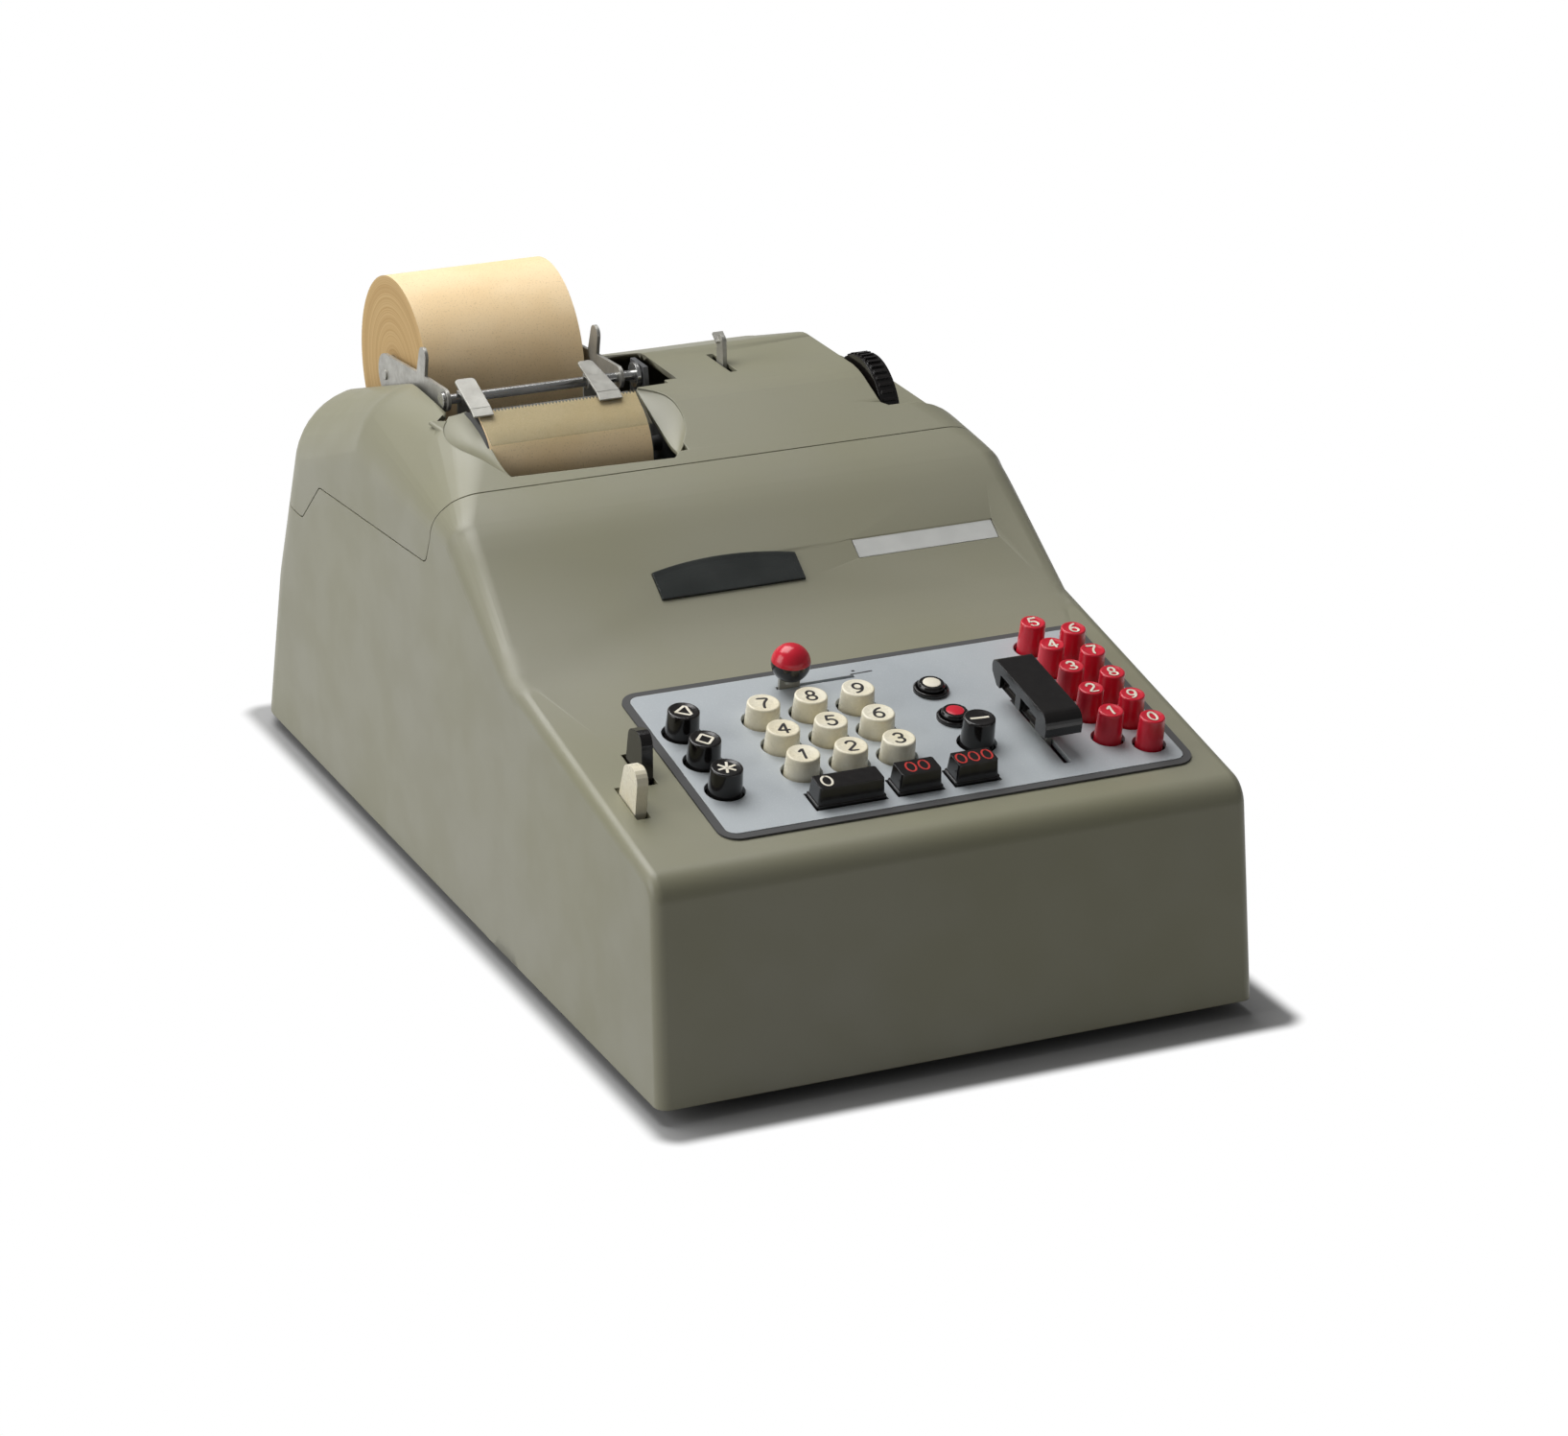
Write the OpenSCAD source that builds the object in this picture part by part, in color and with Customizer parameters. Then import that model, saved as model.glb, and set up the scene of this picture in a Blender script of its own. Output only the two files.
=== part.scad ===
// Electric ten-key adding machine with a multiplier keyboard and a paper roll.
// Millimetres, +Z up, front towards -Y, X to the operator's right.

/* [Body] */
// Width of the housing at its lower edge
body_w = 240; // [220:1:290]
// Depth of the housing at its lower edge
body_l = 446; // [430:1:540]
// Wall thickness of housing and rear cover
wall = 2.5; // [2:0.1:3]
// Draft of the side walls, degrees from upright
side_draft = 1.2; // [0:0.1:3]
// Lean of the front wall, degrees from upright
front_lean = 5.3; // [0:0.1:8]
// Plan radius of the two front corners
corner_r = 5; // [4:0.5:8]
// Plan radius of the two rear corners
rear_corner_r = 24; // [16:1:40]
// Height of the housing's lower edge above the table
foot_h = 6; // [4:0.5:12]

/* [Deck and hood] */
// Height of the deck's front edge above the lower edge
deck_front_z = 82.9; // [75:0.1:100]
// Pitch of the keyboard deck in degrees
deck_pitch = 11; // [8:0.5:14]
// Edge radius along both sides of the deck
deck_edge_r = 4.5; // [3.5:0.1:8]
// Radius where the front wall turns into the deck
nose_r = 12; // [8:0.5:16]
// Distance from the front to the crease between deck and hood
crease_y = 149; // [140:1:160]
// Pitch of the hood in degrees
hood_pitch = 34.2; // [30:0.1:38]
// Height of the flat top above the lower edge
top_z = 174; // [170:1:205]
// Distance from the front to the centre of the brow, where the hood turns
brow_y = 213; // [208:1:220]
// Radius of the brow and of its side edges
brow_r = 10.8; // [8:0.1:16]
// Width of the joint line between housing and cover
seam_gap = 0.5; // [0.3:0.1:0.9]

/* [Keyboard plate] */
// Centre of the keyboard plate, from the middle of the machine
plate_x = 11.6; // [8:0.1:14]
// Centre of the keyboard plate, up the deck from its front edge
plate_v = 76.9; // [70:0.1:82]
// Width of the keyboard plate
plate_w = 184; // [180:1:186]
// Length of the keyboard plate up the deck
plate_l = 96.4; // [92:0.1:100]
// Thickness of the keyboard plate
plate_t = 2.4; // [1.6:0.1:3]
// How far the plate stands proud of the deck
plate_rise = 1; // [0.5:0.1:1.5]
// Corner radius of the keyboard plate
plate_r = 4.5; // [3:0.5:8]
// Width of the black rim round the plate
rim_w = 3.2; // [2:0.1:4]

/* [Keys] */
// Sideways pitch of the ten-key block
key_pitch_x = 19.15; // [18:0.05:20]
// Pitch of the ten-key block up the deck
key_pitch_v = 18.15; // [17:0.05:19]
// Column of the 7, 4 and 1 keys
key_x = -38.3; // [-40:0.1:-37]
// Row of the 1, 2 and 3 keys, up the deck
key_v = 60.1; // [59:0.1:62]
// Diameter of a digit key's top
key_d = 12.4; // [11:0.1:13]
// Height of a digit key above the plate
key_h = 8; // [6:0.5:11]
// Travel of a key
key_travel = 4; // [3:0.5:5]
// Gap round a key in its hole, on the radius
key_gap = 1.1; // [0.6:0.1:1.4]
// Diameter of a key stem
stem_d = 5; // [4:0.1:6]
// Running clearance of a sliding stem, on the radius
run_gap = 0.1; // [0.05:0.01:0.15]
// Column of the function keys at the left
fn_x = -70.3; // [-72:0.1:-68]
// Row of the lowest function key
fn_v = 56.4; // [55:0.1:58]
// Pitch of the function keys
fn_pitch = 20.1; // [18:0.1:21]
// Height of a function key above the plate
fn_h = 10; // [8:0.5:12]
// Column of the minus key and of the two round buttons
minus_x = 32.4; // [31:0.1:34]
// Row of the bar-shaped zero keys
bar_v = 40; // [39:0.1:41]
// Length of a bar-shaped key up the deck
bar_l = 11; // [9:0.1:12]
// Height of a bar-shaped key above the plate
bar_h = 8.2; // [6:0.1:10]

/* [Multiplier keys] */
// Column of the 1 to 5 multiplier keys
mult_x = 81.2; // [80:0.1:82]
// Sideways distance between the two columns
mult_pitch_x = 13; // [12.4:0.1:14]
// Pitch of a column up the deck
mult_pitch_v = 16.5; // [15:0.1:17]
// Row of the 0 key
mult_v = 41.2; // [40:0.1:43]
// Diameter of a multiplier key's top
mult_d = 9.6; // [8.5:0.1:10.4]
// Height of a multiplier key above the plate
mult_h = 12; // [9:0.5:14]

/* [Motor bar] */
// Centre of the motor bar, from the middle of the machine
bar_x = 59; // [58:0.1:60]
// Centre of the motor bar up the deck
bar_mid_v = 66.8; // [64:0.1:70]
// Length of the motor bar
motor_bar_l = 46; // [40:1:52]
// Width of the motor bar
motor_bar_w = 15; // [12:0.5:16]
// Height of the motor bar's top above the plate
motor_bar_h = 16.5; // [14:0.5:20]
// Thickness of the motor bar
motor_bar_t = 9.5; // [8:0.5:11]
// Thickness of the steel arm that carries it
arm_t = 2; // [1.5:0.1:2.5]
// Length of the slot for that arm
arm_slot_l = 46; // [40:1:50]

/* [Selector and levers] */
// Diameter of the selector's ball
ball_d = 15; // [12:0.5:17]
// Height of the ball's centre above the plate
ball_h = 10.5; // [9.5:0.5:14]
// Rest position of the ball, from the middle of the machine
ball_x = -19; // [-21:0.1:-17]
// Line of the selector's slot, up the deck
ball_v = 116; // [114:0.1:117]
// Sideways travel of the selector
ball_travel = 22; // [15:1:25]
// Width of a lever's blade
lever_t = 4.4; // [3:0.1:5]
// Length of a lever's blade along its slot
lever_l = 15.5; // [13:0.5:17]
// Height of a lever above the deck
lever_h = 16.5; // [13:0.5:20]
// Length of a lever's slot
lever_slot_l = 22; // [20.5:0.5:24]
// Depth of a lever's pivot below the deck
lever_pivot_n = 30; // [24:1:36]

/* [Platen and paper] */
// Distance from the front to the platen's axis
platen_y = 268; // [266:0.5:270]
// Height of the platen's axis above the lower edge
platen_z = 153; // [151:0.5:154]
// Radius of the platen
platen_r = 21.7; // [20:0.1:22.5]
// Radius of the shaft ends
axle_r = 3; // [2.5:0.1:3.5]
// Radius of the platen knob
knob_r = 25; // [20:0.5:26]
// Width of the platen knob
knob_w = 8; // [6:0.5:10]
// Width of the paper
paper_w = 66.5; // [60:0.1:67]
// Right-hand edge of the paper, from the middle of the machine
paper_x = -17.6; // [-18.5:0.1:-16.5]
// Radius of the paper roll
roll_r = 39.5; // [20:0.1:41]
// Distance from the front to the roll's axis
roll_y = 356; // [353:0.5:360]
// Height of the roll's axis above the lower edge
roll_z = 166; // [164:0.5:170]
// Radius of the hole through the roll's core
core_r = 5.5; // [5:0.1:8]
// Height of the rod that carries the roll arms
rod_z = 175; // [174:0.1:176]
// Distance from the front to that rod
rod_y = 289; // [288:0.1:291]
// Radius of that rod
rod_r = 2; // [1.5:0.1:2.5]

/* [Hidden] */
$fn = 48;

eps = 0.01;
housing_colour = "#8b8972";
ivory = "#efe8cf";
black = "#242122";
crimson = "#b51c2c";
steel = "#a9abac";

// ---------- body outline ----------
crease_z = deck_front_z + crease_y * tan(deck_pitch);
crease_r = 6;
// Centre height of the brow, which is tangent to the hood
brow_z = crease_z + (brow_y - crease_y) * tan(hood_pitch) - brow_r / cos(hood_pitch);
// Foot of the hood, buried in the deck
hood_foot_y = crease_y - 14;
hood_foot_z = crease_z - 14 * tan(hood_pitch);
// Centre of the nose, tangent to the front wall and to the deck
nose_z = (deck_front_z + nose_r * (tan(deck_pitch) / cos(front_lean) - 1 / cos(deck_pitch)))
    / (1 - tan(deck_pitch) * tan(front_lean));
nose_y = nose_r / cos(front_lean) + nose_z * tan(front_lean);

// Half width of the body at a height
function half_w(z) = body_w / 2 - z * tan(side_draft);

// Spheres that the tall rear part of the body is stretched over: distance from
// the front, height, radius. The last ones follow the rounded back.
body_balls = [
    [hood_foot_y + crease_r * sin(hood_pitch), hood_foot_z - crease_r * cos(hood_pitch), crease_r],
    [brow_y, brow_z, brow_r],
    [brow_y + 59, top_z - 38, 38],
    [body_l - 133, top_z - 30, 30],
    [body_l - 96, top_z - 48, 29.5],
    [body_l - 65, top_z - 55, 33],
    [body_l - 43, top_z - 110, 26]
];

// How much narrower the body is at its rear corners, on each side
rear_taper = 1.4;

// A pair of anything, left and right
module both_sides() {
    children();
    mirror([1, 0, 0]) children();
}

// Low front part with the deck, its skin moved inwards by inset
module front_block(inset) {
    hull() both_sides() {
        translate([half_w(0) - corner_r, corner_r, inset > 0 ? -1 : 0])
            cylinder(r = corner_r - inset, h = eps);
        translate([half_w(nose_z) - deck_edge_r, nose_y, nose_z])
            rotate([0, 90, 0])
                rotate_extrude()
                    translate([nose_r - deck_edge_r, 0])
                        circle(deck_edge_r - inset, $fn = 32);
        translate([half_w(crease_z) - deck_edge_r, crease_y + 20, 0])
            translate([0, 0, crease_z + 20 * tan(deck_pitch) - deck_edge_r / cos(deck_pitch)])
                sphere(deck_edge_r - inset, $fn = 32);
        translate([half_w(0) - corner_r, crease_y + 20, inset > 0 ? -1 : 0])
            cylinder(r = corner_r - inset, h = eps);
    }
}

// Tall rear part with hood, flat top and rounded back
module rear_block(inset) {
    hull() both_sides() {
        for (b = body_balls)
            translate([half_w(b[1]) - b[2], b[0], b[1]]) sphere(b[2] - inset);
        translate([half_w(0) - corner_r, hood_foot_y + 10, inset > 0 ? -1 : 0])
            cylinder(r = corner_r - inset, h = eps);
        translate([half_w(0) - rear_corner_r - rear_taper, body_l - rear_corner_r, inset > 0 ? -1 : 0])
            cylinder(r = rear_corner_r - inset, h = eps);
    }
}

// ---------- step for the platen knob at the right ----------
step_x = 79;
step_z = top_z - 24;
step_y = brow_y + 27;
module knob_step(inset) {
    hull() {
        translate([step_x - inset, step_y - inset, top_z + 10])
            cube([60, body_l, 10]);
        translate([step_x - inset + 4, step_y - inset + 6, step_z - inset + 4])
            rotate([0, 90, 0]) cylinder(r = 4, h = 60, $fn = 16);
        translate([step_x - inset, step_y - inset + 6, step_z - inset + 8])
            cube([60, body_l, 10]);
        translate([step_x - inset + 4, step_y - inset + 6, step_z - inset + 4])
            rotate([-90, 0, 0]) cylinder(r = 4, h = body_l, $fn = 16);
    }
}

module body_solid(inset) {
    difference() {
        union() {
            front_block(inset);
            rear_block(inset);
        }
        knob_step(inset);
    }
}

// ---------- joint between housing and cover, seen from the side ----------
seam_y = 224.5;
seam_foot_y = 232.5;
seam_foot_z = 130;
seam_tail_z = 102.3;
// Points of a rounding between two directions of a path
function arc_pts(cx, cz, r, from, to, n) =
    [for (i = [0:n]) [cx + r * cos(from + (to - from) * i / n), cz + r * sin(from + (to - from) * i / n)]];
module cover_zone(grow) {
    rotate([90, 0, 90])
        linear_extrude(body_w + 20, center = true)
            polygon(concat(
                [[seam_y - grow, top_z + 90], [seam_y - grow, 158.5], [seam_y + 2.2 - grow, 155]],
                [[seam_y + 3.6 - grow, 150], [seam_y + 5.5 - grow, 141]],
                arc_pts(seam_foot_y + 5.6, seam_foot_z + 4.6, 5 + grow, 192, 268, 6),
                arc_pts(body_l - 91, seam_tail_z + 14.2, 5.4 - grow, 90, 42, 4),
                arc_pts(body_l - 65.5, seam_tail_z + 5, 5 + grow, 228, 270, 4),
                [[body_l + 90, seam_tail_z - grow], [body_l + 90, top_z + 90]]
            ));
}

// ---------- places ----------
// Frame of the deck: x, v up the slope, n outwards
module on_deck() {
    translate([0, 0, deck_front_z]) rotate([deck_pitch, 0, 0]) children();
}
// Frame of the hood: x, up the slope from the crease, outwards
module on_hood() {
    translate([0, crease_y, crease_z]) rotate([hood_pitch, 0, 0]) children();
}
module place() {
    translate([0, -body_l / 2, foot_h]) children();
}

module rounded_slab(w, l, t, r) {
    linear_extrude(t) {
        square([w - 2 * r, l], center = true);
        square([w, l - 2 * r], center = true);
        for (x = [-1, 1], y = [-1, 1])
            translate([x * (w / 2 - r), y * (l / 2 - r)]) circle(r);
    }
}

// ---------- window, plate recess and slots ----------
window_x = -16.7;
window_v = 30.7;
window_w = 59.5;
window_l = 13;
window_arch = 3.5;
module window_outline(grow) {
    // Rectangle with an arched top, from a circle through its corners and crown
    arch_r = (window_w * window_w / 4 + window_arch * window_arch) / (2 * window_arch);
    intersection() {
        translate([-window_w / 2 - grow, -window_l / 2 - grow])
            square([window_w + 2 * grow, window_l + window_arch + 2 * grow]);
        translate([0, window_l / 2 + window_arch - arch_r]) circle(arch_r + grow, $fn = 180);
    }
}
module at_window() {
    on_hood() translate([window_x, window_v, 0]) children();
}

badge_x = 68;
badge_v = 35;
badge_w = 60.5;
badge_l = 9.6;
badge_t = 1.2;
module at_badge() {
    on_hood() translate([badge_x, badge_v, 0]) children();
}

lever_black_x = -94;
lever_black_v = 79.7;
lever_ivory_x = -104.9;
lever_ivory_v = 59.5;
lever_slot_w = lever_t + 1;
module lever_slot(x, v) {
    on_deck() translate([x - lever_slot_w / 2, v - lever_slot_l / 2, -wall - 2])
        cube([lever_slot_w, lever_slot_l, wall + 4]);
}

inlet_x = -62;
inlet_z = 30;
inlet_w = 26;
inlet_l = 18;

// ---------- paper opening of the rear cover ----------
opening_left = paper_x - paper_w - 8;
opening_right = paper_x + 6;
opening_front = 231;
bay_y = rod_y - 8;
bay_left = paper_x - paper_w - 6.4;
bay_right = paper_x + 25;
module paper_opening() {
    translate([0, 0, seam_foot_z + 8])
        linear_extrude(100)
            polygon(concat(
                arc_pts(bay_left + 16, opening_front + 6, 6, 215, 270, 4),
                [[opening_right + 3, opening_front + 1], [opening_right, bay_y - 14]],
                [[opening_right, bay_y], [bay_right, bay_y], [bay_right, body_l + 20]],
                [[bay_left, body_l + 20], [bay_left, bay_y], [opening_left - 6, bay_y - 5]]
            ));
}

flank_front = [bay_left + 12, opening_front + 1, 158.4];
flank_mid = [paper_x - paper_w - 1.9, opening_front + 14.5, 162.4];
flank_low = [paper_x - paper_w - 1.9, bay_y - 8, top_z - 4];
flank_ridge = [opening_left - 6.5, bay_y - 5, top_z - 3.2];
// Dished flank that leads the cover's skin down to the paper
module opening_flank(points) {
    hull()
        for (p = points) translate(p) sphere(0.9, $fn = 16);
}

release_x = 31.7;
release_y = 292.5;
release_z = top_z - 39;
release_slot_l = 25;
release_slot_w = 3;

// ---------- shells ----------
module housing() {
    place() color(housing_colour)
        difference() {
            body_solid(0);
            body_solid(wall);
            cover_zone(seam_gap);
            on_deck() translate([plate_x, plate_v, -wall - 3])
                rounded_slab(plate_w + 0.6, plate_l + 0.6, wall + 6, plate_r);
            lever_slot(lever_black_x, lever_black_v);
            lever_slot(lever_ivory_x, lever_ivory_v);
            at_window() translate([0, 0, -8]) linear_extrude(16) window_outline(0);
            at_badge() translate([0, 0, -badge_t]) rounded_slab(badge_w, badge_l, 8, 0.4);
            translate([inlet_x, body_l - 30, inlet_z])
                cube([inlet_w + 0.4, 80, inlet_l + 0.4], center = true);
        }
}

module rear_cover() {
    place() color(housing_colour) {
        difference() {
            intersection() {
                rear_block(0);
                cover_zone(0);
            }
            knob_step(0);
            difference() {
                rear_block(wall);
                knob_step(wall);
            }
            paper_opening();
            translate([release_x - release_slot_w / 2, release_y - release_slot_l / 2, top_z - 12])
                cube([release_slot_w, release_slot_l, 30]);
            // Hole for the platen's axle and slot for the knob's rim
            along_x(step_x - 10, platen_y, platen_z) cylinder(r = axle_r + 2, h = 20);
            along_x(knob_in - 1, platen_y, platen_z) cylinder(r = knob_r + 1.5, h = knob_w + 2);
        }
        opening_flank([flank_front, flank_mid, flank_ridge]);
        opening_flank([flank_mid, flank_low, flank_ridge]);
        opening_flank([
            [opening_right + 3.6, opening_front + 1, 158.6], [opening_right + 0.4, bay_y - 3, top_z - 1.5],
            [opening_right - 3.8, bay_y - 20, top_z - 10]
        ]);
    }
}

base_t = 2;
module base_plate() {
    place() color("#55534a")
        difference() {
            linear_extrude(base_t)
                hull() both_sides() {
                    translate([half_w(0) - corner_r, corner_r]) circle(corner_r - wall - 0.6);
                    translate([half_w(0) - rear_corner_r - rear_taper, body_l - rear_corner_r])
                        circle(rear_corner_r - wall - 1.2);
                }
            // Ventilation slots under the motor
            for (i = [0:6])
                translate([20 + i * 9, body_l - 110, -1]) rounded_slab(4, 50, base_t + 2, 1.9);
        }
}

foot_r = 8;
foot_x = body_w / 2 - 24;
foot_front_y = 26;
foot_rear_y = body_l - 44;
module rubber_feet() {
    place() color("#1d1c1c")
        for (x = [-foot_x, foot_x], y = [foot_front_y, foot_rear_y])
            translate([x, y, -foot_h])
                rotate_extrude()
                    polygon([[0, 0], [foot_r - 1.2, 0], [foot_r, 1.2], [foot_r + 1.5, foot_h], [0, foot_h]]);
}

// ---------- keyboard ----------
function column(c) = key_x + c * key_pitch_x;
function row(r) = key_v + r * key_pitch_v;
mult_places = [for (i = [0:9]) i == 0 ? [1, 0] : i < 6 ? [0, i - 0.5] : [1, 10 - i]];
function mult_px(i) = mult_x + mult_places[i][0] * mult_pitch_x;
function mult_pv(i) = mult_v + mult_places[i][1] * mult_pitch_v;
dot_d = 13.2;
dot_h = 3.6;
zero_bars = [[-29.6, 27.6], [-2, 18], [20.8, 18]];
bar_taper = 1.1;

guide_top = -14;
guide_t = 2;
cap_depth = 6;
stem_end = guide_top - guide_t - key_travel - 1;

// Places of every round key: x, v, cap radius
round_keys = concat(
    [for (r = [0:2], c = [0:2]) [column(c), row(r), key_d / 2 + 0.5]],
    [for (i = [0:2]) [fn_x, fn_v + i * fn_pitch, key_d / 2 + 0.3]],
    [[minus_x, row(0), key_d / 2 + 0.3]],
    [for (i = [0:9]) [mult_px(i), mult_pv(i), mult_d / 2 + 0.5]]
);
button_places = [[minus_x - 0.9, row(0) + 38.3], [minus_x - 0.9, row(0) + 17.7]];

// Round key: tapered cap with a rounded rim, dished top and a guide stem
module round_key(x, v, d, h) {
    r = d / 2;
    foot = r + 0.45;
    on_deck() translate([x, v, plate_rise]) {
        rotate_extrude()
            polygon(concat(
                [[0, -cap_depth], [foot, -cap_depth], [foot, -1]],
                [for (a = [0:15:90]) [r - 0.7 + 0.7 * cos(a), h - 0.7 + 0.7 * sin(a)]],
                [[r * 0.6, h - 0.25], [0, h - 0.35]]
            ));
        translate([0, 0, stem_end - plate_rise])
            cylinder(d = stem_d, h = -cap_depth - stem_end + plate_rise + 0.5);
    }
}

// Bar-shaped key with a flared foot
module bar_key(x, w) {
    on_deck() translate([x, bar_v, plate_rise]) {
        hull() {
            translate([0, 0, bar_h - 0.8])
                rounded_slab(w - 2 * bar_taper, bar_l - 2 * bar_taper, 0.8, 0.9);
            translate([0, 0, 0]) rounded_slab(w - 1, bar_l - 1, 1, 1.2);
        }
        translate([0, 0, -cap_depth]) rounded_slab(w, bar_l, cap_depth + 1.2, 1.2);
        translate([0, 0, stem_end - plate_rise])
            cylinder(d = stem_d, h = -cap_depth - stem_end + plate_rise + 0.5);
    }
}

module dot_button(i, tint) {
    place() on_deck() translate([button_places[i][0], button_places[i][1], plate_rise]) {
        color(black)
            rotate_extrude()
                polygon([
                    [0, -cap_depth], [dot_d / 2 - 1.4, -cap_depth], [dot_d / 2 - 1.4, dot_h - 0.8],
                    [dot_d / 2 - 2, dot_h], [3.4, dot_h], [3.4, dot_h - 0.6], [0, dot_h - 0.6]
                ]);
        color(black) translate([0, 0, stem_end - plate_rise])
            cylinder(d = stem_d, h = -cap_depth - stem_end + plate_rise + 0.5);
        color(tint) translate([0, 0, dot_h - 0.6]) cylinder(r = 3.3, h = 0.65);
    }
}

module keyboard_plate() {
    place() color("#b9bdc0")
        on_deck()
            difference() {
                translate([plate_x, plate_v, plate_rise - plate_t])
                    rounded_slab(plate_w, plate_l, plate_t, plate_r - 0.3);
                for (k = round_keys)
                    translate([k[0], k[1], -plate_t]) cylinder(r = k[2] + key_gap, h = plate_t * 3);
                for (b = button_places)
                    translate([b[0], b[1], -plate_t]) cylinder(r = dot_d / 2 - 0.8, h = plate_t * 3);
                for (b = zero_bars)
                    translate([b[0] - b[1] / 2 - 0.5, bar_v - bar_l / 2 - 0.5, -plate_t])
                        cube([b[1] + 1, bar_l + 1, plate_t * 3]);
                translate([bar_x - arm_t / 2 - 0.6, bar_mid_v - 6 - arm_slot_l / 2, -plate_t])
                    cube([arm_t + 1.2, arm_slot_l, plate_t * 3]);
                translate([ball_x - 5, ball_v - 0.9, -plate_t])
                    cube([ball_travel + 10, 1.8, plate_t * 3]);
            }
    // Raised collars round the two dot buttons
    place() color(black)
        on_deck()
            for (b = button_places)
                translate([b[0], b[1], plate_rise])
                    rotate_extrude()
                        polygon([
                            [dot_d / 2 - 0.8, -0.5], [dot_d / 2 + 0.2, 0], [dot_d / 2 + 0.2, 1.2],
                            [dot_d / 2 - 0.3, 1.7], [dot_d / 2 - 0.8, 1.7]
                        ]);
}

module plate_rim() {
    place() color(black)
        on_deck() translate([plate_x, plate_v, 0])
            difference() {
                translate([0, 0, -0.2])
                    rounded_slab(plate_w + 2 * rim_w, plate_l + 2 * rim_w, plate_rise, plate_r + rim_w);
                translate([0, 0, -1])
                    rounded_slab(plate_w + 0.2, plate_l + 0.2, plate_rise + 3, plate_r - 0.2);
                // Seat over the edge of the opening in the deck
                difference() {
                    translate([0, 0, -1])
                        rounded_slab(plate_w + 30, plate_l + 30, 1, plate_r);
                    translate([0, 0, -2])
                        rounded_slab(plate_w + 0.5, plate_l + 0.5, 3, plate_r);
                }
            }
}

// Inner guide plate of the key stems, hung from the keyboard plate on posts
module key_guide() {
    place() color(steel)
        on_deck() {
            difference() {
                translate([plate_x, plate_v, guide_top - guide_t])
                    rounded_slab(plate_w - 1, plate_l - 6, guide_t, 2);
                for (k = round_keys)
                    translate([k[0], k[1], guide_top - 5]) cylinder(r = stem_d / 2 + run_gap, h = 10);
                for (b = button_places)
                    translate([b[0], b[1], guide_top - 5]) cylinder(r = stem_d / 2 + run_gap, h = 10);
                for (b = zero_bars)
                    translate([b[0], bar_v, guide_top - 5]) cylinder(r = stem_d / 2 + run_gap, h = 10);
                translate([bar_x - arm_t / 2 - run_gap, bar_mid_v - 13 - run_gap, guide_top - 5])
                    cube([arm_t + 2 * run_gap, 14 + 2 * run_gap, 10]);
                translate([ball_x - 6, ball_v - 2.2, guide_top - 5]) cube([ball_travel + 12, 4.4, 10]);
            }
            for (x = [-1, 1], v = [-1, 1])
                translate([plate_x + x * (plate_w / 2 - 2.5), plate_v + v * (plate_l / 2 - 5.7), guide_top])
                    cylinder(r = 1.8, h = plate_rise - plate_t - guide_top);
        }
}

module digit_key(i) {
    place() color(ivory) round_key(column((i - 1) % 3), row(floor((i - 1) / 3)), key_d, key_h);
}
module function_key(i) {
    place() color(black) round_key(fn_x, fn_v + i * fn_pitch, key_d - 0.4, fn_h);
}
module minus_key() {
    place() color(black) round_key(minus_x, row(0), key_d - 0.4, fn_h + 1);
}
module mult_key(i) {
    place() color(crimson) round_key(mult_px(i), mult_pv(i), mult_d, mult_h);
}
module zero_bar(i) {
    place() color(black) bar_key(zero_bars[i][0], zero_bars[i][1]);
}

// Motor bar: a long grip with finger scoops along both sides
module motor_bar() {
    half = motor_bar_l / 2;
    place() color(black)
        on_deck() translate([bar_x, bar_mid_v, plate_rise + motor_bar_h]) {
            difference() {
                rotate([90, 0, 90])
                    linear_extrude(motor_bar_w, center = true)
                        polygon(concat(
                            [for (a = [90:-15:0]) [half - 3 + 3 * cos(a), -3 + 3 * sin(a)]],
                            [[half - 0.5, -motor_bar_t + 4], [half - 5, -motor_bar_t]],
                            [[5 - half, -motor_bar_t], [0.2 - half, -motor_bar_t + 1]],
                            [for (a = [180:-15:90]) [5 - half + 5 * cos(a), -5 + 5 * sin(a)]]
                        ));
                for (s = [-1, 1], v = [-8, 9])
                    translate([s * (motor_bar_w / 2 + 1.2), v, -motor_bar_t + 2.6])
                        rotate([0, s * -18, 0])
                            rotate([90, 0, 0])
                                cylinder(r = 3.4, h = 13, center = true);
            }
        }
}

module motor_bar_arm() {
    top = plate_rise + motor_bar_h - motor_bar_t;
    place() color(steel)
        on_deck() {
            translate([bar_x - arm_t / 2, bar_mid_v - 13, stem_end - 4])
                cube([arm_t, 14, top - stem_end + 4]);
            translate([bar_x - motor_bar_w / 2 + 2.5, bar_mid_v - 15, top - 1])
                cube([motor_bar_w - 5, 30, 1]);
        }
}

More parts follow.
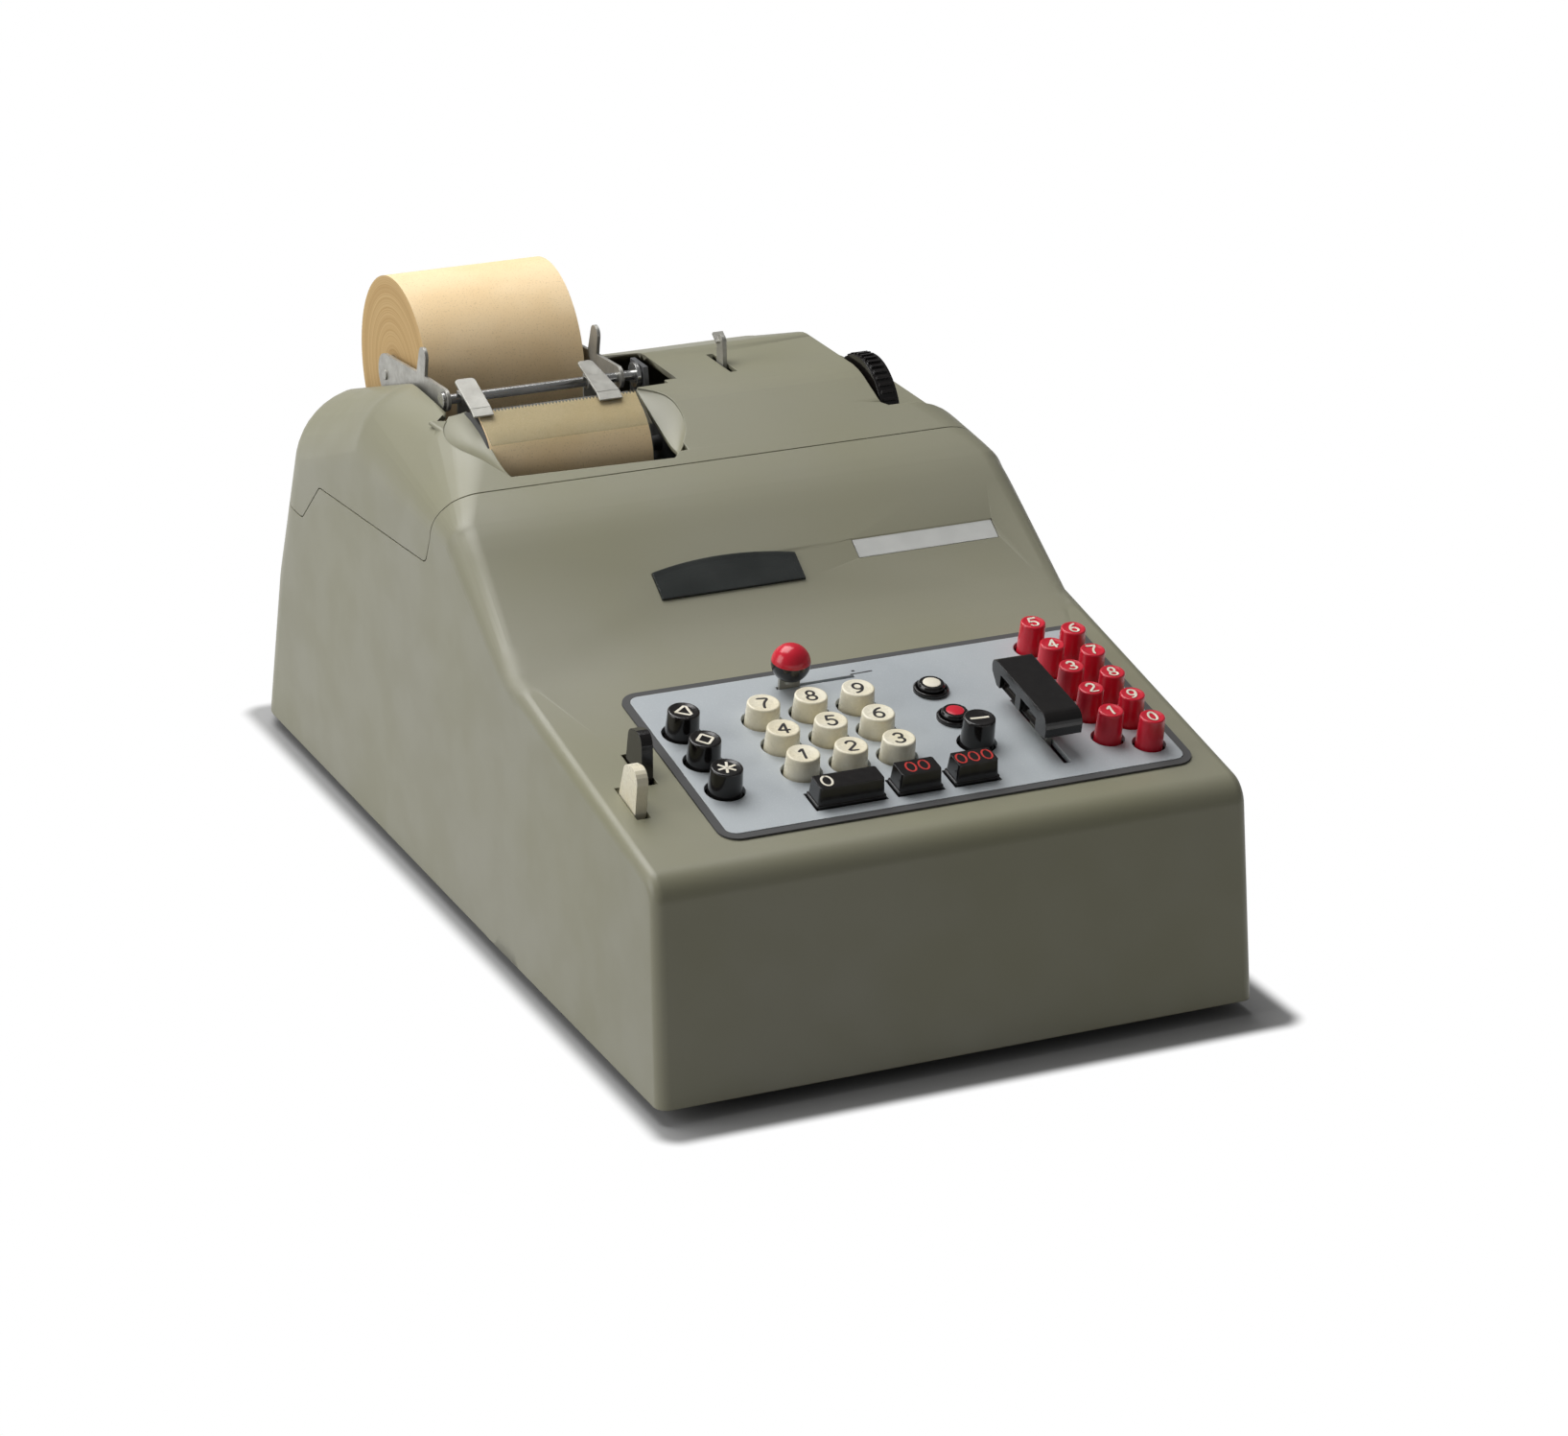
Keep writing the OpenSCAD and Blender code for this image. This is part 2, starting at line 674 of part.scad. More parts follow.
module selector_ball() {
    place() color(crimson)
        on_deck() translate([ball_x, ball_v, plate_rise + ball_h]) {
            difference() {
                sphere(d = ball_d);
                translate([0, 0, -ball_d]) cylinder(r = 2, h = ball_d - 1.5);
            }
        }
}
module selector_stem() {
    place() color("#6f6658")
        on_deck() translate([ball_x, ball_v, plate_rise]) {
            translate([0, 0, ball_h - ball_d / 2 - 1]) cylinder(r = 2, h = ball_d / 2 - 0.5);
            translate([-4.2, -0.7, 0.4]) cube([8.4, 1.4, ball_h - ball_d / 2 + 1]);
            translate([-4.2, -0.7, guide_top - plate_rise - guide_t - 2])
                cube([8.4, 1.4, guide_t - guide_top + plate_rise + 3]);
            // Shoes above and below the guide plate
            translate([-5, -3.4, guide_top - plate_rise + 0.1]) cube([10, 6.8, 1.5]);
            translate([-5, -3.4, guide_top - guide_t - plate_rise - 1.6]) cube([10, 6.8, 1.5]);
        }
}

// Tapered blade with a rounded top that swings about a pin below the deck
module deck_lever(x, v, lean) {
    on_deck() translate([x, v, 0])
        difference() {
            union() {
                rotate([90, 0, 90])
                    linear_extrude(lever_t, center = true)
                        polygon(concat(
                            arc_pts(lean - 1.5, lever_h - 5, 5, 180, 75, 6),
                            arc_pts(lean + 2.5, lever_h - 5.4, 4, 60, 0, 4),
                            [[lever_l / 2, 0], [3, -lever_pivot_n + 3]],
                            [[-3, -lever_pivot_n + 3], [-lever_l / 2, 0]]
                        ));
                translate([0, 0, -lever_pivot_n]) rotate([0, 90, 0]) cylinder(r = 5, h = lever_t, center = true);
            }
            translate([0, 0, -lever_pivot_n]) rotate([0, 90, 0])
                cylinder(r = pin_r + pin_gap, h = lever_t * 3, center = true);
        }
}
pin_r = 2;
pin_gap = 0.05;
module lever_black() {
    place() color(black) deck_lever(lever_black_x, lever_black_v, 1);
}
module lever_ivory() {
    place() color(ivory) deck_lever(lever_ivory_x, lever_ivory_v, -1);
}

module window_lens() {
    place() color("#dfe6e8", 0.35)
        at_window() difference() {
            translate([0, 0, -wall]) linear_extrude(wall + 0.9) window_outline(-0.15);
            translate([0, 0, -wall - 1]) linear_extrude(wall + 0.8) window_outline(-1.8);
        }
}

// Black tray behind the window with the scale of the column indicator
module indicator_scale() {
    place() color("#2b2a2a")
        at_window() difference() {
            translate([0, 0, -wall - 8]) linear_extrude(7.95) window_outline(1.5);
            translate([0, 0, -wall - 6.5]) linear_extrude(8) window_outline(-0.5);
        }
    place() color(steel)
        at_window()
            for (i = [0:12])
                translate([(i - 6) * 4.2, -1, -wall - 6.7]) cube([0.6, i % 3 == 0 ? 7 : 4, 0.4]);
}

module name_plate() {
    place() color("#c3c7c9")
        at_badge() translate([0, 0, -badge_t]) rounded_slab(badge_w - 1, badge_l - 1, 0.8, 0.3);
}

// ---------- platen, paper and roll ----------
frame_t = 2.5;
frame_left = paper_x - paper_w - 11.4;
frame_mid = paper_x + 11.6;
frame_mid_t = 2;
frame_right = 68;
knob_in = step_x + 1.5;
// Turns a side view (y, z) so that it runs along X
module side_view(x) {
    translate([x, 0, 0]) rotate([90, 0, 90]) children();
}
module along_x(x, y, z) {
    translate([x, y, z]) rotate([0, 90, 0]) children();
}

module platen() {
    place() color("#2b2928") {
        along_x(paper_x - paper_w - 0.6, platen_y, platen_z) cylinder(r = platen_r, h = paper_w + 1.2);
    }
    place() color(steel)
        along_x(frame_left - 2, platen_y, platen_z)
            cylinder(r = axle_r, h = knob_in + knob_w - frame_left + 2.5);
}
module platen_knob() {
    ribs = 48;
    place() color(black) along_x(knob_in, platen_y, platen_z)
        difference() {
            union() {
                cylinder(r = knob_r - 0.8, h = knob_w);
                translate([0, 0, 1.2])
                    linear_extrude(knob_w - 2.4)
                        for (i = [0:ribs - 1]) rotate(i * 360 / ribs) translate([knob_r - 1.2, 0])
                            square([2.4, 1.2], center = true);
            }
            translate([0, 0, -1]) cylinder(r = axle_r, h = knob_w + 2);
            translate([0, 0, knob_w - 2])
                difference() {
                    cylinder(r = knob_r - 4, h = 3);
                    cylinder(r = axle_r + 5, h = 3);
                }
        }
}

module paper_roll() {
    place() color("#d9bd8d") along_x(paper_x - paper_w, roll_y, roll_z)
        difference() {
            cylinder(r = roll_r, h = paper_w);
            translate([0, 0, -1]) cylinder(r = core_r + 2, h = paper_w + 2);
        }
}
module roll_core() {
    place() color("#a98f6c") along_x(paper_x - paper_w, roll_y, roll_z)
        difference() {
            cylinder(r = core_r + 2, h = paper_w);
            translate([0, 0, -1]) cylinder(r = core_r, h = paper_w + 2);
        }
}

arm_thick = 1.4;
arm_gap = 2.6;
arm_stub = 7;
arm_d = [rod_y - roll_y, rod_z - roll_z];
// Roll arm in side view: eye at the roll, thumb tab, end round the rod
module arm_outline() {
    hull() {
        circle(8.5);
        translate([arm_d[0] + 26, arm_d[1] - 4]) circle(7);
    }
    hull() {
        translate([arm_d[0] + 26, arm_d[1] - 4]) circle(7);
        translate(arm_d) circle(4.5);
    }
    hull() {
        translate([arm_d[0] + 27, arm_d[1]]) circle(4.5);
        translate([arm_d[0] + 24, arm_d[1] + 11]) circle(3.6);
    }
}
module roll_arm(side) {
    inner = side < 0 ? paper_x - paper_w - arm_gap : paper_x + arm_gap;
    place() color(steel) translate([inner, roll_y, roll_z]) {
        difference() {
            translate([side < 0 ? -arm_thick : 0, 0, 0])
                rotate([90, 0, 90]) linear_extrude(arm_thick) arm_outline();
            translate([-6, arm_d[0], arm_d[1]]) rotate([0, 90, 0]) cylinder(r = rod_r + pin_gap, h = 12);
        }
        translate([side < 0 ? -0.5 : 0.5 - arm_gap - arm_stub, 0, 0]) rotate([0, 90, 0])
            cylinder(r = core_r - 0.08, h = arm_gap + arm_stub);
        translate([side < 0 ? -arm_thick - 0.7 : arm_thick - 0.1, 0, 0]) rotate([0, 90, 0])
            cylinder(r = 2.2, h = 0.8);
    }
}
module roll_arm_left() {
    roll_arm(-1);
}
module roll_arm_right() {
    roll_arm(1);
}
rod_left = paper_x - paper_w - arm_gap - arm_thick - 1.4;
module roll_rod() {
    place() color(steel) {
        along_x(rod_left, rod_y, rod_z) cylinder(r = rod_r, h = frame_mid + frame_mid_t - rod_left + 1);
        along_x(rod_left, rod_y, rod_z) cylinder(r = 3.4, h = 1.2);
        along_x(frame_mid - 2.2, rod_y, rod_z) cylinder(r = 5, h = 1.6);
    }
}

paper_t = 0.3;
paper_in = platen_r + 0.3;
tear_z = platen_z + paper_in + paper_t + 0.7;
// Ring sector round the platen, angles from +Y towards +Z
module platen_wrap(r, t, x, w, from, to) {
    translate([x, platen_y, platen_z]) rotate([90, 0, 90]) rotate([0, 0, from])
        rotate_extrude(angle = to - from)
            translate([r, 0]) square([t, w]);
}
// Paper comes up from below, round the platen's front and under the tear bar
module paper_strip() {
    place() color("#dcc08f") {
        platen_wrap(paper_in, paper_t, paper_x - paper_w, paper_w, 88, 285);
    }
}
// Pressure plate that holds the paper to the platen from below
module paper_guide() {
    place() color(steel) {
        platen_wrap(paper_in + paper_t + 0.5, 1, paper_x - paper_w - 1, paper_w + 2, 205, 290);
        along_x(frame_left + frame_t - 0.2, platen_y - 6, platen_z - platen_r - 2.5)
            cylinder(r = 1.5, h = frame_mid - frame_left - frame_t + 0.4);
    }
}

tear_pitch = 1.4;
module tear_bar() {
    x0 = paper_x - paper_w - 1;
    len = paper_w + 2;
    teeth = floor(len / tear_pitch);
    place() color(steel)
        translate([0, platen_y - 1, tear_z])
            linear_extrude(0.9)
                polygon(concat(
                    [for (i = [0:teeth], j = [0, 1]) if (i + j / 2 <= teeth)
                        [x0 + (i + j / 2) * len / teeth, -1.2 * j]],
                    [[x0 + len, 9], [x0, 9]]
                ));
}

// Bracket over the tear bar: two flat fingers, lugs round the rod and legs behind
finger_rise = 45;
finger_l = 15;
finger_xs = [paper_x - paper_w - 2.2, paper_x - 18.8];
finger_ws = [8.4, 7.2];
lug_xs = [2, 10];
lug_w = 6;
leg_z = platen_z - 4;
module bail_fingers() {
    place() color(steel) {
        for (i = [0, 1])
            translate([finger_xs[i], platen_y - 1, tear_z + 0.9]) {
                translate([finger_ws[i] / 2, 0, 0]) rotate([finger_rise, 0, 0])
                    translate([0, finger_l / 2, 0]) rounded_slab(finger_ws[i], finger_l, 1, 2);
                cube([finger_ws[i], 8, 1]);
                translate([0, 2, 0]) cube([lug_xs[i] + lug_w, 6, 1]);
                difference() {
                    union() {
                        translate([lug_xs[i], 4, 0]) cube([lug_w, rod_y - platen_y - 3, 1]);
                        along_x(lug_xs[i], rod_y - platen_y + 1, rod_z - tear_z - 0.9)
                            cylinder(r = rod_r + 1.2, h = lug_w);
                        translate([lug_xs[i], rod_y - platen_y + 3.2, leg_z - tear_z - 0.9])
                            cube([lug_w, 1, rod_z - leg_z]);
                    }
                    along_x(-1, rod_y - platen_y + 1, rod_z - tear_z - 0.9) cylinder(r = rod_r, h = 40);
                }
            }
        along_x(frame_left + frame_t - 0.2, rod_y + 2.6, leg_z)
            cylinder(r = 1.6, h = frame_mid - frame_left - frame_t + 0.4);
    }
}

module release_lever() {
    place() color(steel) translate([release_x, release_y, release_z]) {
        difference() {
            rotate([90, 0, 90]) linear_extrude(1.8, center = true)
                hull() {
                    circle(5.5);
                    translate([0, 48]) circle(2.8);
                }
            rotate([0, 90, 0]) cylinder(r = cross_r + pin_gap, h = 10, center = true);
        }
        translate([-2.2, 0.6, 47]) rotate([35, 0, 0]) cube([4.4, 5, 1.2]);
    }
}

inlet_y = body_l - 20;
module power_inlet() {
    place() color(black) translate([inlet_x, inlet_y, inlet_z])
        difference() {
            cube([inlet_w, 24, inlet_l], center = true);
            translate([0, 5, 0]) cube([inlet_w - 4, 24, inlet_l - 4], center = true);
        }
    place() color(steel) for (x = [-7, 7])
        translate([inlet_x + x, inlet_y - 8, inlet_z]) rotate([-90, 0, 0]) cylinder(r = 1.8, h = 15);
}

// ---------- drive and frames ----------
motor_x = 20;
motor_y = body_l - 90;
motor_z = 46;
motor_r = 33;
rotor_r = 4;
cross_r = 3;
module motor() {
    place() color("#4a4a4c") {
        difference() {
            along_x(motor_x - 32, motor_y, motor_z) cylinder(r = motor_r, h = 64);
            along_x(motor_x - 40, motor_y, motor_z) cylinder(r = rotor_r + pin_gap, h = 80);
        }
        for (x = [-20, 20])
            translate([motor_x + x - 4, motor_y - 22, base_t]) cube([8, 44, motor_z - motor_r + 4]);
    }
}
module motor_rotor() {
    blades = 8;
    place() color(steel) along_x(motor_x - 36, motor_y, motor_z) cylinder(r = rotor_r, h = 84);
    place() color("#5b5c5e") along_x(motor_x + 34, motor_y, motor_z) {
        cylinder(r = 10, h = 3);
        linear_extrude(10)
            for (i = [0:blades - 1]) rotate(i * 360 / blades) translate([3, -0.8]) square([24, 1.6]);
    }
}

// Steel frame: side plates, middle plate, cross plates, lever pins and cross shaft
module side_frames() {
    place() color(steel) {
        side_view(frame_left)
            linear_extrude(frame_t)
                difference() {
                    polygon([
                        [150, base_t], [326, base_t], [326, 60], [306, 140], [290, 163],
                        [256, 163], [238, 146], [222, 138], [150, 96]
                    ]);
                    translate([platen_y, platen_z]) circle(axle_r + pin_gap);
                    translate([200, 70]) circle(18);
                }
        side_view(frame_mid)
            linear_extrude(frame_mid_t)
                difference() {
                    polygon([
                        [244, base_t], [300, base_t], [300, 120], [297, 179.5], [283.5, 179.5],
                        [281.5, 168], [264, 165], [252, 158], [244, 140]
                    ]);
                    translate([platen_y, platen_z]) circle(axle_r + pin_gap);
                    translate([rod_y, rod_z]) circle(rod_r);
                }
        side_view(frame_right)
            linear_extrude(frame_t)
                difference() {
                    polygon([
                        [150, base_t], [326, base_t], [326, 60], [306, 142], [290, 163],
                        [256, 163], [238, 146], [222, 138], [150, 84]
                    ]);
                    translate([platen_y, platen_z]) circle(axle_r + pin_gap);
                    translate([200, 70]) circle(18);
                }
        // Front wing of the left plate with the two lever pins
        side_view((lever_black_x + lever_ivory_x) / 2 - frame_t / 2)
            linear_extrude(frame_t)
                polygon([[44, base_t], [150, base_t], [150, 96], [44, 82]]);
        translate([(lever_black_x + lever_ivory_x) / 2 - frame_t / 2, 149, base_t])
            cube([frame_left - (lever_black_x + lever_ivory_x) / 2 + 1.5 * frame_t, 2.5, 90]);
        for (p = [[lever_black_x, lever_black_v, 1], [lever_ivory_x, lever_ivory_v, -1]])
            on_deck() translate([(lever_black_x + lever_ivory_x) / 2, p[1], -lever_pivot_n])
                rotate([0, 90 * p[2], 0])
                    cylinder(r = pin_r, h = abs(p[0] - (lever_black_x + lever_ivory_x) / 2) + lever_t / 2 + 1);
        for (y = [156, 294])
            translate([frame_left, y, base_t]) cube([frame_right - frame_left + frame_t, 2.5, 56]);
        along_x(frame_mid, release_y, release_z) cylinder(r = cross_r, h = frame_right - frame_mid + 1);
    }
}

housing();
rear_cover();
base_plate();
rubber_feet();
keyboard_plate();
plate_rim();
key_guide();
digit_key(1);  // key_1
digit_key(2);  // key_2
digit_key(3);  // key_3
digit_key(4);  // key_4
digit_key(5);  // key_5
digit_key(6);  // key_6
digit_key(7);  // key_7
digit_key(8);  // key_8
digit_key(9);  // key_9
zero_bar(0);  // key_0
zero_bar(1);  // key_00
zero_bar(2);  // key_000
function_key(0);  // key_star
function_key(1);  // key_square
function_key(2);  // key_triangle
minus_key();  // key_minus
dot_button(0, ivory);  // button_white
dot_button(1, crimson);  // button_red
mult_key(0);  // mult_0
mult_key(1);  // mult_1
mult_key(2);  // mult_2
mult_key(3);  // mult_3
mult_key(4);  // mult_4
mult_key(5);  // mult_5
mult_key(6);  // mult_6
mult_key(7);  // mult_7
mult_key(8);  // mult_8
mult_key(9);  // mult_9
motor_bar();
motor_bar_arm();
selector_ball();
selector_stem();
lever_black();
lever_ivory();
window_lens();
indicator_scale();
name_plate();
platen();
platen_knob();
paper_roll();
roll_core();
roll_arm_left();
roll_arm_right();
roll_rod();
bail_fingers();
tear_bar();
paper_strip();
paper_guide();
release_lever();
power_inlet();
motor();
motor_rotor();
side_frames();
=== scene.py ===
"""Looks of an electric ten-key adding machine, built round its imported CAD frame.

Every size is in metres in the frame's own coordinates: +Z up, the front towards -Y, X to the operator's
right. Sub-assemblies are classes with their sizes as fields; finishes are frozen dataclasses; main()
builds them in order.
"""

import logging
import math
from dataclasses import dataclass
from enum import Enum

import bmesh
import bpy
import numpy as np
from mathutils import Matrix, Vector


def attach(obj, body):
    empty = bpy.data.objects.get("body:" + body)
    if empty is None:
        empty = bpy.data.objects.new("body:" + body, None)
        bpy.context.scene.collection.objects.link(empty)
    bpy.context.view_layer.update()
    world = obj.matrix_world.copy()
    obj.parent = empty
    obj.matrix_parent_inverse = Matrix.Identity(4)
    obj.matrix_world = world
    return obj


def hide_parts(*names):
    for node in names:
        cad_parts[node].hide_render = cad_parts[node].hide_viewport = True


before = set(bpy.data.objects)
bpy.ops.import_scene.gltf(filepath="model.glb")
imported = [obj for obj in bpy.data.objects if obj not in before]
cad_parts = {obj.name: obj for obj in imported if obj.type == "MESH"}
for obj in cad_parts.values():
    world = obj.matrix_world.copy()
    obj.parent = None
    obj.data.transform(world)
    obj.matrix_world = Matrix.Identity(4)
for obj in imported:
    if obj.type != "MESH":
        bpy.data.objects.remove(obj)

LOG = logging.getLogger("adding_machine")
MM = 0.001
IMAGE_WIDTH = 1635
FRONT_Y = -0.223
LOWER_Z = 0.006
DECK_PITCH = math.radians(11.0)
DECK_FRONT_Z = 0.0829
# Where deck and hood meet, how far from it the wide rounding fades out, and its radius there
CREASE_Y = -0.074
CREASE_REACH = (0.007, 0.014)
CREASE_RADIUS = 0.009
# Distance from a mark's middle, in mm, at which a dished mark has risen by its dish
DISH_RADIUS = 6.0
# Edges that turn by more than this stay sharp on built pieces
SHARP = math.radians(35)
# Faces of a box whose corners run round its lower side and then round its upper one
BOX_FACES = ((0, 1, 2, 3), (4, 5, 6, 7), (0, 1, 5, 4), (1, 2, 6, 5), (2, 3, 7, 6), (3, 0, 4, 7))

# Short names for types
Tree, Node, Socket = bpy.types.NodeTree, bpy.types.Node, bpy.types.NodeSocket
Material, Mesh, Object = bpy.types.Material, bpy.types.Mesh, bpy.types.Object
Pair, Triple = tuple[float, float], tuple[float, float, float]


# ---------- objects, colours and nodes ----------
def place_object(name: str, data: object) -> Object:
    """Makes an object of some data at the origin and links it to the scene."""
    made = bpy.data.objects.new(name, data)
    bpy.context.scene.collection.objects.link(made)
    return made


def blank_material(name: str) -> tuple[Material, Tree]:
    """Makes a material with an empty node tree."""
    made = bpy.data.materials.new(name)
    made.use_nodes = True
    made.node_tree.nodes.clear()
    return made, made.node_tree


def principled_material(name: str) -> tuple[Material, Tree, Node]:
    """Makes a material with the Principled shader that Blender starts one with."""
    made = bpy.data.materials.new(name)
    made.use_nodes = True
    return made, made.node_tree, made.node_tree.nodes["Principled BSDF"]


def linear(text: str) -> tuple[float, ...]:
    """Turns an sRGB hex colour of six digits, such as "8b8972", into linear red, green, blue and an alpha of 1."""
    parts = [int(text[i : i + 2], 16) / 255 for i in (0, 2, 4)]
    red, green, blue = [p / 12.92 if p <= 0.04045 else ((p + 0.055) / 1.055) ** 2.4 for p in parts]
    return red, green, blue, 1.0


def add(tree: Tree, kind: str, sockets: dict[str | int, object] | None = None, **settings: object) -> Node:
    """Adds one node with its settings and links, and returns it.

    Args:
        tree: the node tree it goes into.
        kind: the node's type name, without its "ShaderNode" start.
        sockets: input name or number to a value, or to the output socket that feeds it.
        settings: properties of the node itself.
    """
    made = tree.nodes.new("ShaderNode" + kind)
    for key, value in settings.items():
        setattr(made, key, value)
    for key, value in (sockets or {}).items():
        if isinstance(value, Socket):
            tree.links.new(value, made.inputs[key])
        else:
            made.inputs[key].default_value = value
    return made


def mix_colour(tree: Tree, share: object, first: object, second: object) -> Socket:
    """Mixes two colours by a share from 0 to 1 and returns the result's socket."""
    return add(tree, "Mix", {0: share, 6: first, 7: second}, data_type="RGBA").outputs[2]


def band(tree: Tree, value: Socket, low: float, high: float, to_low: float, to_high: float) -> Socket:
    """Maps a value from one range to another, clamped, and returns the result's socket."""
    sockets = {0: value, 1: low, 2: high, 3: to_low, 4: to_high}
    return add(tree, "MapRange", sockets, interpolation_type="SMOOTHSTEP").outputs[0]


def maths(tree: Tree, operation: str, first: object, second: object = 0.0, clamp: bool = False) -> Socket:
    """One step of arithmetic on values or sockets."""
    return add(tree, "Math", {0: first, 1: second}, operation=operation, use_clamp=clamp).outputs[0]


def vectors(tree: Tree, operation: str, first: object, second: object = (0.0, 0.0, 0.0)) -> Socket:
    """One step of vector arithmetic; LENGTH and DOT_PRODUCT return a number, the others a vector."""
    made = add(tree, "VectorMath", {0: first, 1: second}, operation=operation)
    return made.outputs["Value" if operation in ("LENGTH", "DOT_PRODUCT") else "Vector"]


def object_place(tree: Tree) -> Socket:
    """The surface point in the piece's own coordinates, in metres."""
    return add(tree, "TexCoord").outputs["Object"]


def noise(tree: Tree, where: Socket, size_mm: float, detail: float, rough: float = 0.5) -> Socket:
    """Noise from 0 to 1 whose lumps are about size_mm across."""
    sockets = {"Vector": where, "Scale": 1.0 / (size_mm * MM), "Detail": detail, "Roughness": rough}
    return add(tree, "TexNoise", sockets).outputs["Fac"]


class Relief(Enum):
    """How a surface's fine relief runs, as the stretch of its pattern along X, Y and Z."""

    EVEN = (1.0, 1.0, 1.0)
    ALONG_X = (0.04, 1.0, 1.0)


@dataclass(frozen=True)
class Finish:
    """One real surface: its colours, its sheen and the scale of its patterns in millimetres."""

    name: str
    colour: str
    shade: str
    rough: float
    rough_spread: float = 0.08
    metallic: float = 0.0
    ior: float = 1.5
    coat: float = 0.0
    patch_mm: float = 40.0
    grain_mm: float = 0.8
    relief_mm: float = 0.004
    speck: str = ""
    speck_mm: float = 0.6
    speck_share: float = 0.12
    edge: str = ""
    edge_mm: float = 0.5
    relief: Relief = Relief.EVEN
    crease: bool = False

    def pattern(self, tree: Tree, size_mm: float, detail: float = 2.0) -> Socket:
        """Noise whose lumps are about size_mm across, run the way of the relief."""
        turned = add(tree, "Mapping", {"Vector": object_place(tree), "Scale": self.relief.value}).outputs[0]
        return noise(tree, turned, size_mm, detail, 0.6)

    def tint(self, tree: Tree) -> Socket:
        """Base colour: two tones in soft patches, with fine specks where the finish has them."""
        share = band(tree, noise(tree, object_place(tree), self.patch_mm, 3.0), 0.3, 0.7, 0.0, 1.0)
        colour = mix_colour(tree, share, linear(self.colour), linear(self.shade))
        if self.speck:
            fine = band(tree, self.pattern(tree, self.speck_mm, 1.0), 0.55, 0.75, 0.0, self.speck_share * 4)
            colour = mix_colour(tree, fine, colour, linear(self.speck))
        return colour

    def worn(self, tree: Tree, colour: object, rounded: Socket) -> object:
        """Lightens the colour where the rounded normal leaves the flat one, which is along edges."""
        flat = add(tree, "NewGeometry").outputs["Normal"]
        along = vectors(tree, "DOT_PRODUCT", rounded, flat)
        broken = band(tree, self.pattern(tree, 6.0), 0.35, 0.65, 0.2, 1.0)
        share = band(tree, along, 0.995, 0.86, 0.0, 0.55)
        return mix_colour(tree, maths(tree, "MULTIPLY", share, broken), colour, linear(self.edge))

    def rounding(self, tree: Tree) -> Socket:
        """Normal rounded over the edges; on the shells it is wide along the crease of deck and hood."""
        if not self.crease:
            return add(tree, "Bevel", {"Radius": self.edge_mm * MM}, samples=4).outputs[0]
        back = add(tree, "SeparateXYZ", {0: object_place(tree)}).outputs[1]
        off = maths(tree, "ABSOLUTE", maths(tree, "ADD", back, -CREASE_Y))
        radius = band(tree, off, *CREASE_REACH, CREASE_RADIUS, self.edge_mm * MM)
        return add(tree, "Bevel", {"Radius": radius}, samples=6).outputs[0]

    def dress(self, tree: Tree, shader: Node) -> None:
        """Feeds the Principled shader with this finish's sheen, colour, roughness and relief."""
        for socket, value in (("Metallic", self.metallic), ("IOR", self.ior), ("Coat Weight", self.coat)):
            shader.inputs[socket].default_value = value
        colour = self.tint(tree)
        rounded = self.rounding(tree)
        if self.edge:
            colour = self.worn(tree, colour, rounded)
        tree.links.new(colour, shader.inputs["Base Color"])
        spread = band(tree, self.pattern(tree, self.patch_mm / 4), 0.3, 0.7, -self.rough_spread, self.rough_spread)
        tree.links.new(maths(tree, "ADD", spread, self.rough, clamp=True), shader.inputs["Roughness"])
        height = self.pattern(tree, self.grain_mm)
        bump = {"Height": height, "Distance": self.relief_mm * MM, "Strength": 1.0, "Normal": rounded}
        tree.links.new(add(tree, "Bump", bump).outputs[0], shader.inputs["Normal"])

    def material(self) -> Material:
        """Makes this finish's material once and returns it again on later calls."""
        found = bpy.data.materials.get(self.name)
        if found:
            return found
        made, tree, shader = principled_material(self.name)
        self.dress(tree, shader)
        return made


# Stove enamel on die-cast shells: satin, faintly orange-peeled, rubbed paler along its edges.
OLIVE_ENAMEL = Finish(
    "stove_enamel_olive", "8d8b78", "89876f", 0.42, 0.03, patch_mm=90, grain_mm=1.4, relief_mm=0.003,
    speck="817f6b", speck_mm=0.9, speck_share=0.03, edge="a9a793", crease=True
)
# Moulded key plastics: dense and glossy, with a trace of flow in the colour.
IVORY_PLASTIC = Finish(
    "moulded_urea_ivory", "efe9d4", "e9e0c4", 0.28, 0.05, patch_mm=12, grain_mm=1.2, relief_mm=0.001,
    edge="f6f2e4", edge_mm=0.35
)
BLACK_PLASTIC = Finish(
    "moulded_phenolic_black", "120f0f", "171413", 0.16, 0.04, coat=0.15, patch_mm=12, grain_mm=1.4,
    relief_mm=0.001, edge="2a2625"
)
RED_PLASTIC = Finish(
    "moulded_urea_crimson", "d42438", "ca1e32", 0.22, 0.04, patch_mm=12, grain_mm=1.2, relief_mm=0.001,
    edge="d42f40", edge_mm=0.35
)
# Fine-blasted anodised aluminium: a grey-blue satin with a fine sparkle and a bright cut edge.
SATIN_PLATE = Finish(
    "satin_anodised_aluminium", "b3b9bc", "acb2b6", 0.46, 0.05, metallic=0.12, patch_mm=35, grain_mm=0.5,
    speck="c3c8ca", speck_mm=0.5, edge="f0f0ea"
)
BARE_SILVER = Finish(
    "bare_silvered_plate", "d4d5d1", "cbccc8", 0.36, 0.05, metallic=0.2, patch_mm=14, grain_mm=0.4,
    relief_mm=0.002, relief=Relief.ALONG_X, edge="efefea", edge_mm=0.4
)
GASKET_RUBBER = Finish("gasket_rubber", "0d0a09", "120f0e", 0.6, 0.06, patch_mm=12, grain_mm=0.5, edge="2b2725")
FOOT_RUBBER = Finish("foot_rubber", "1c1b1b", "262424", 0.7, 0.1, patch_mm=6, grain_mm=0.4, relief_mm=0.02)
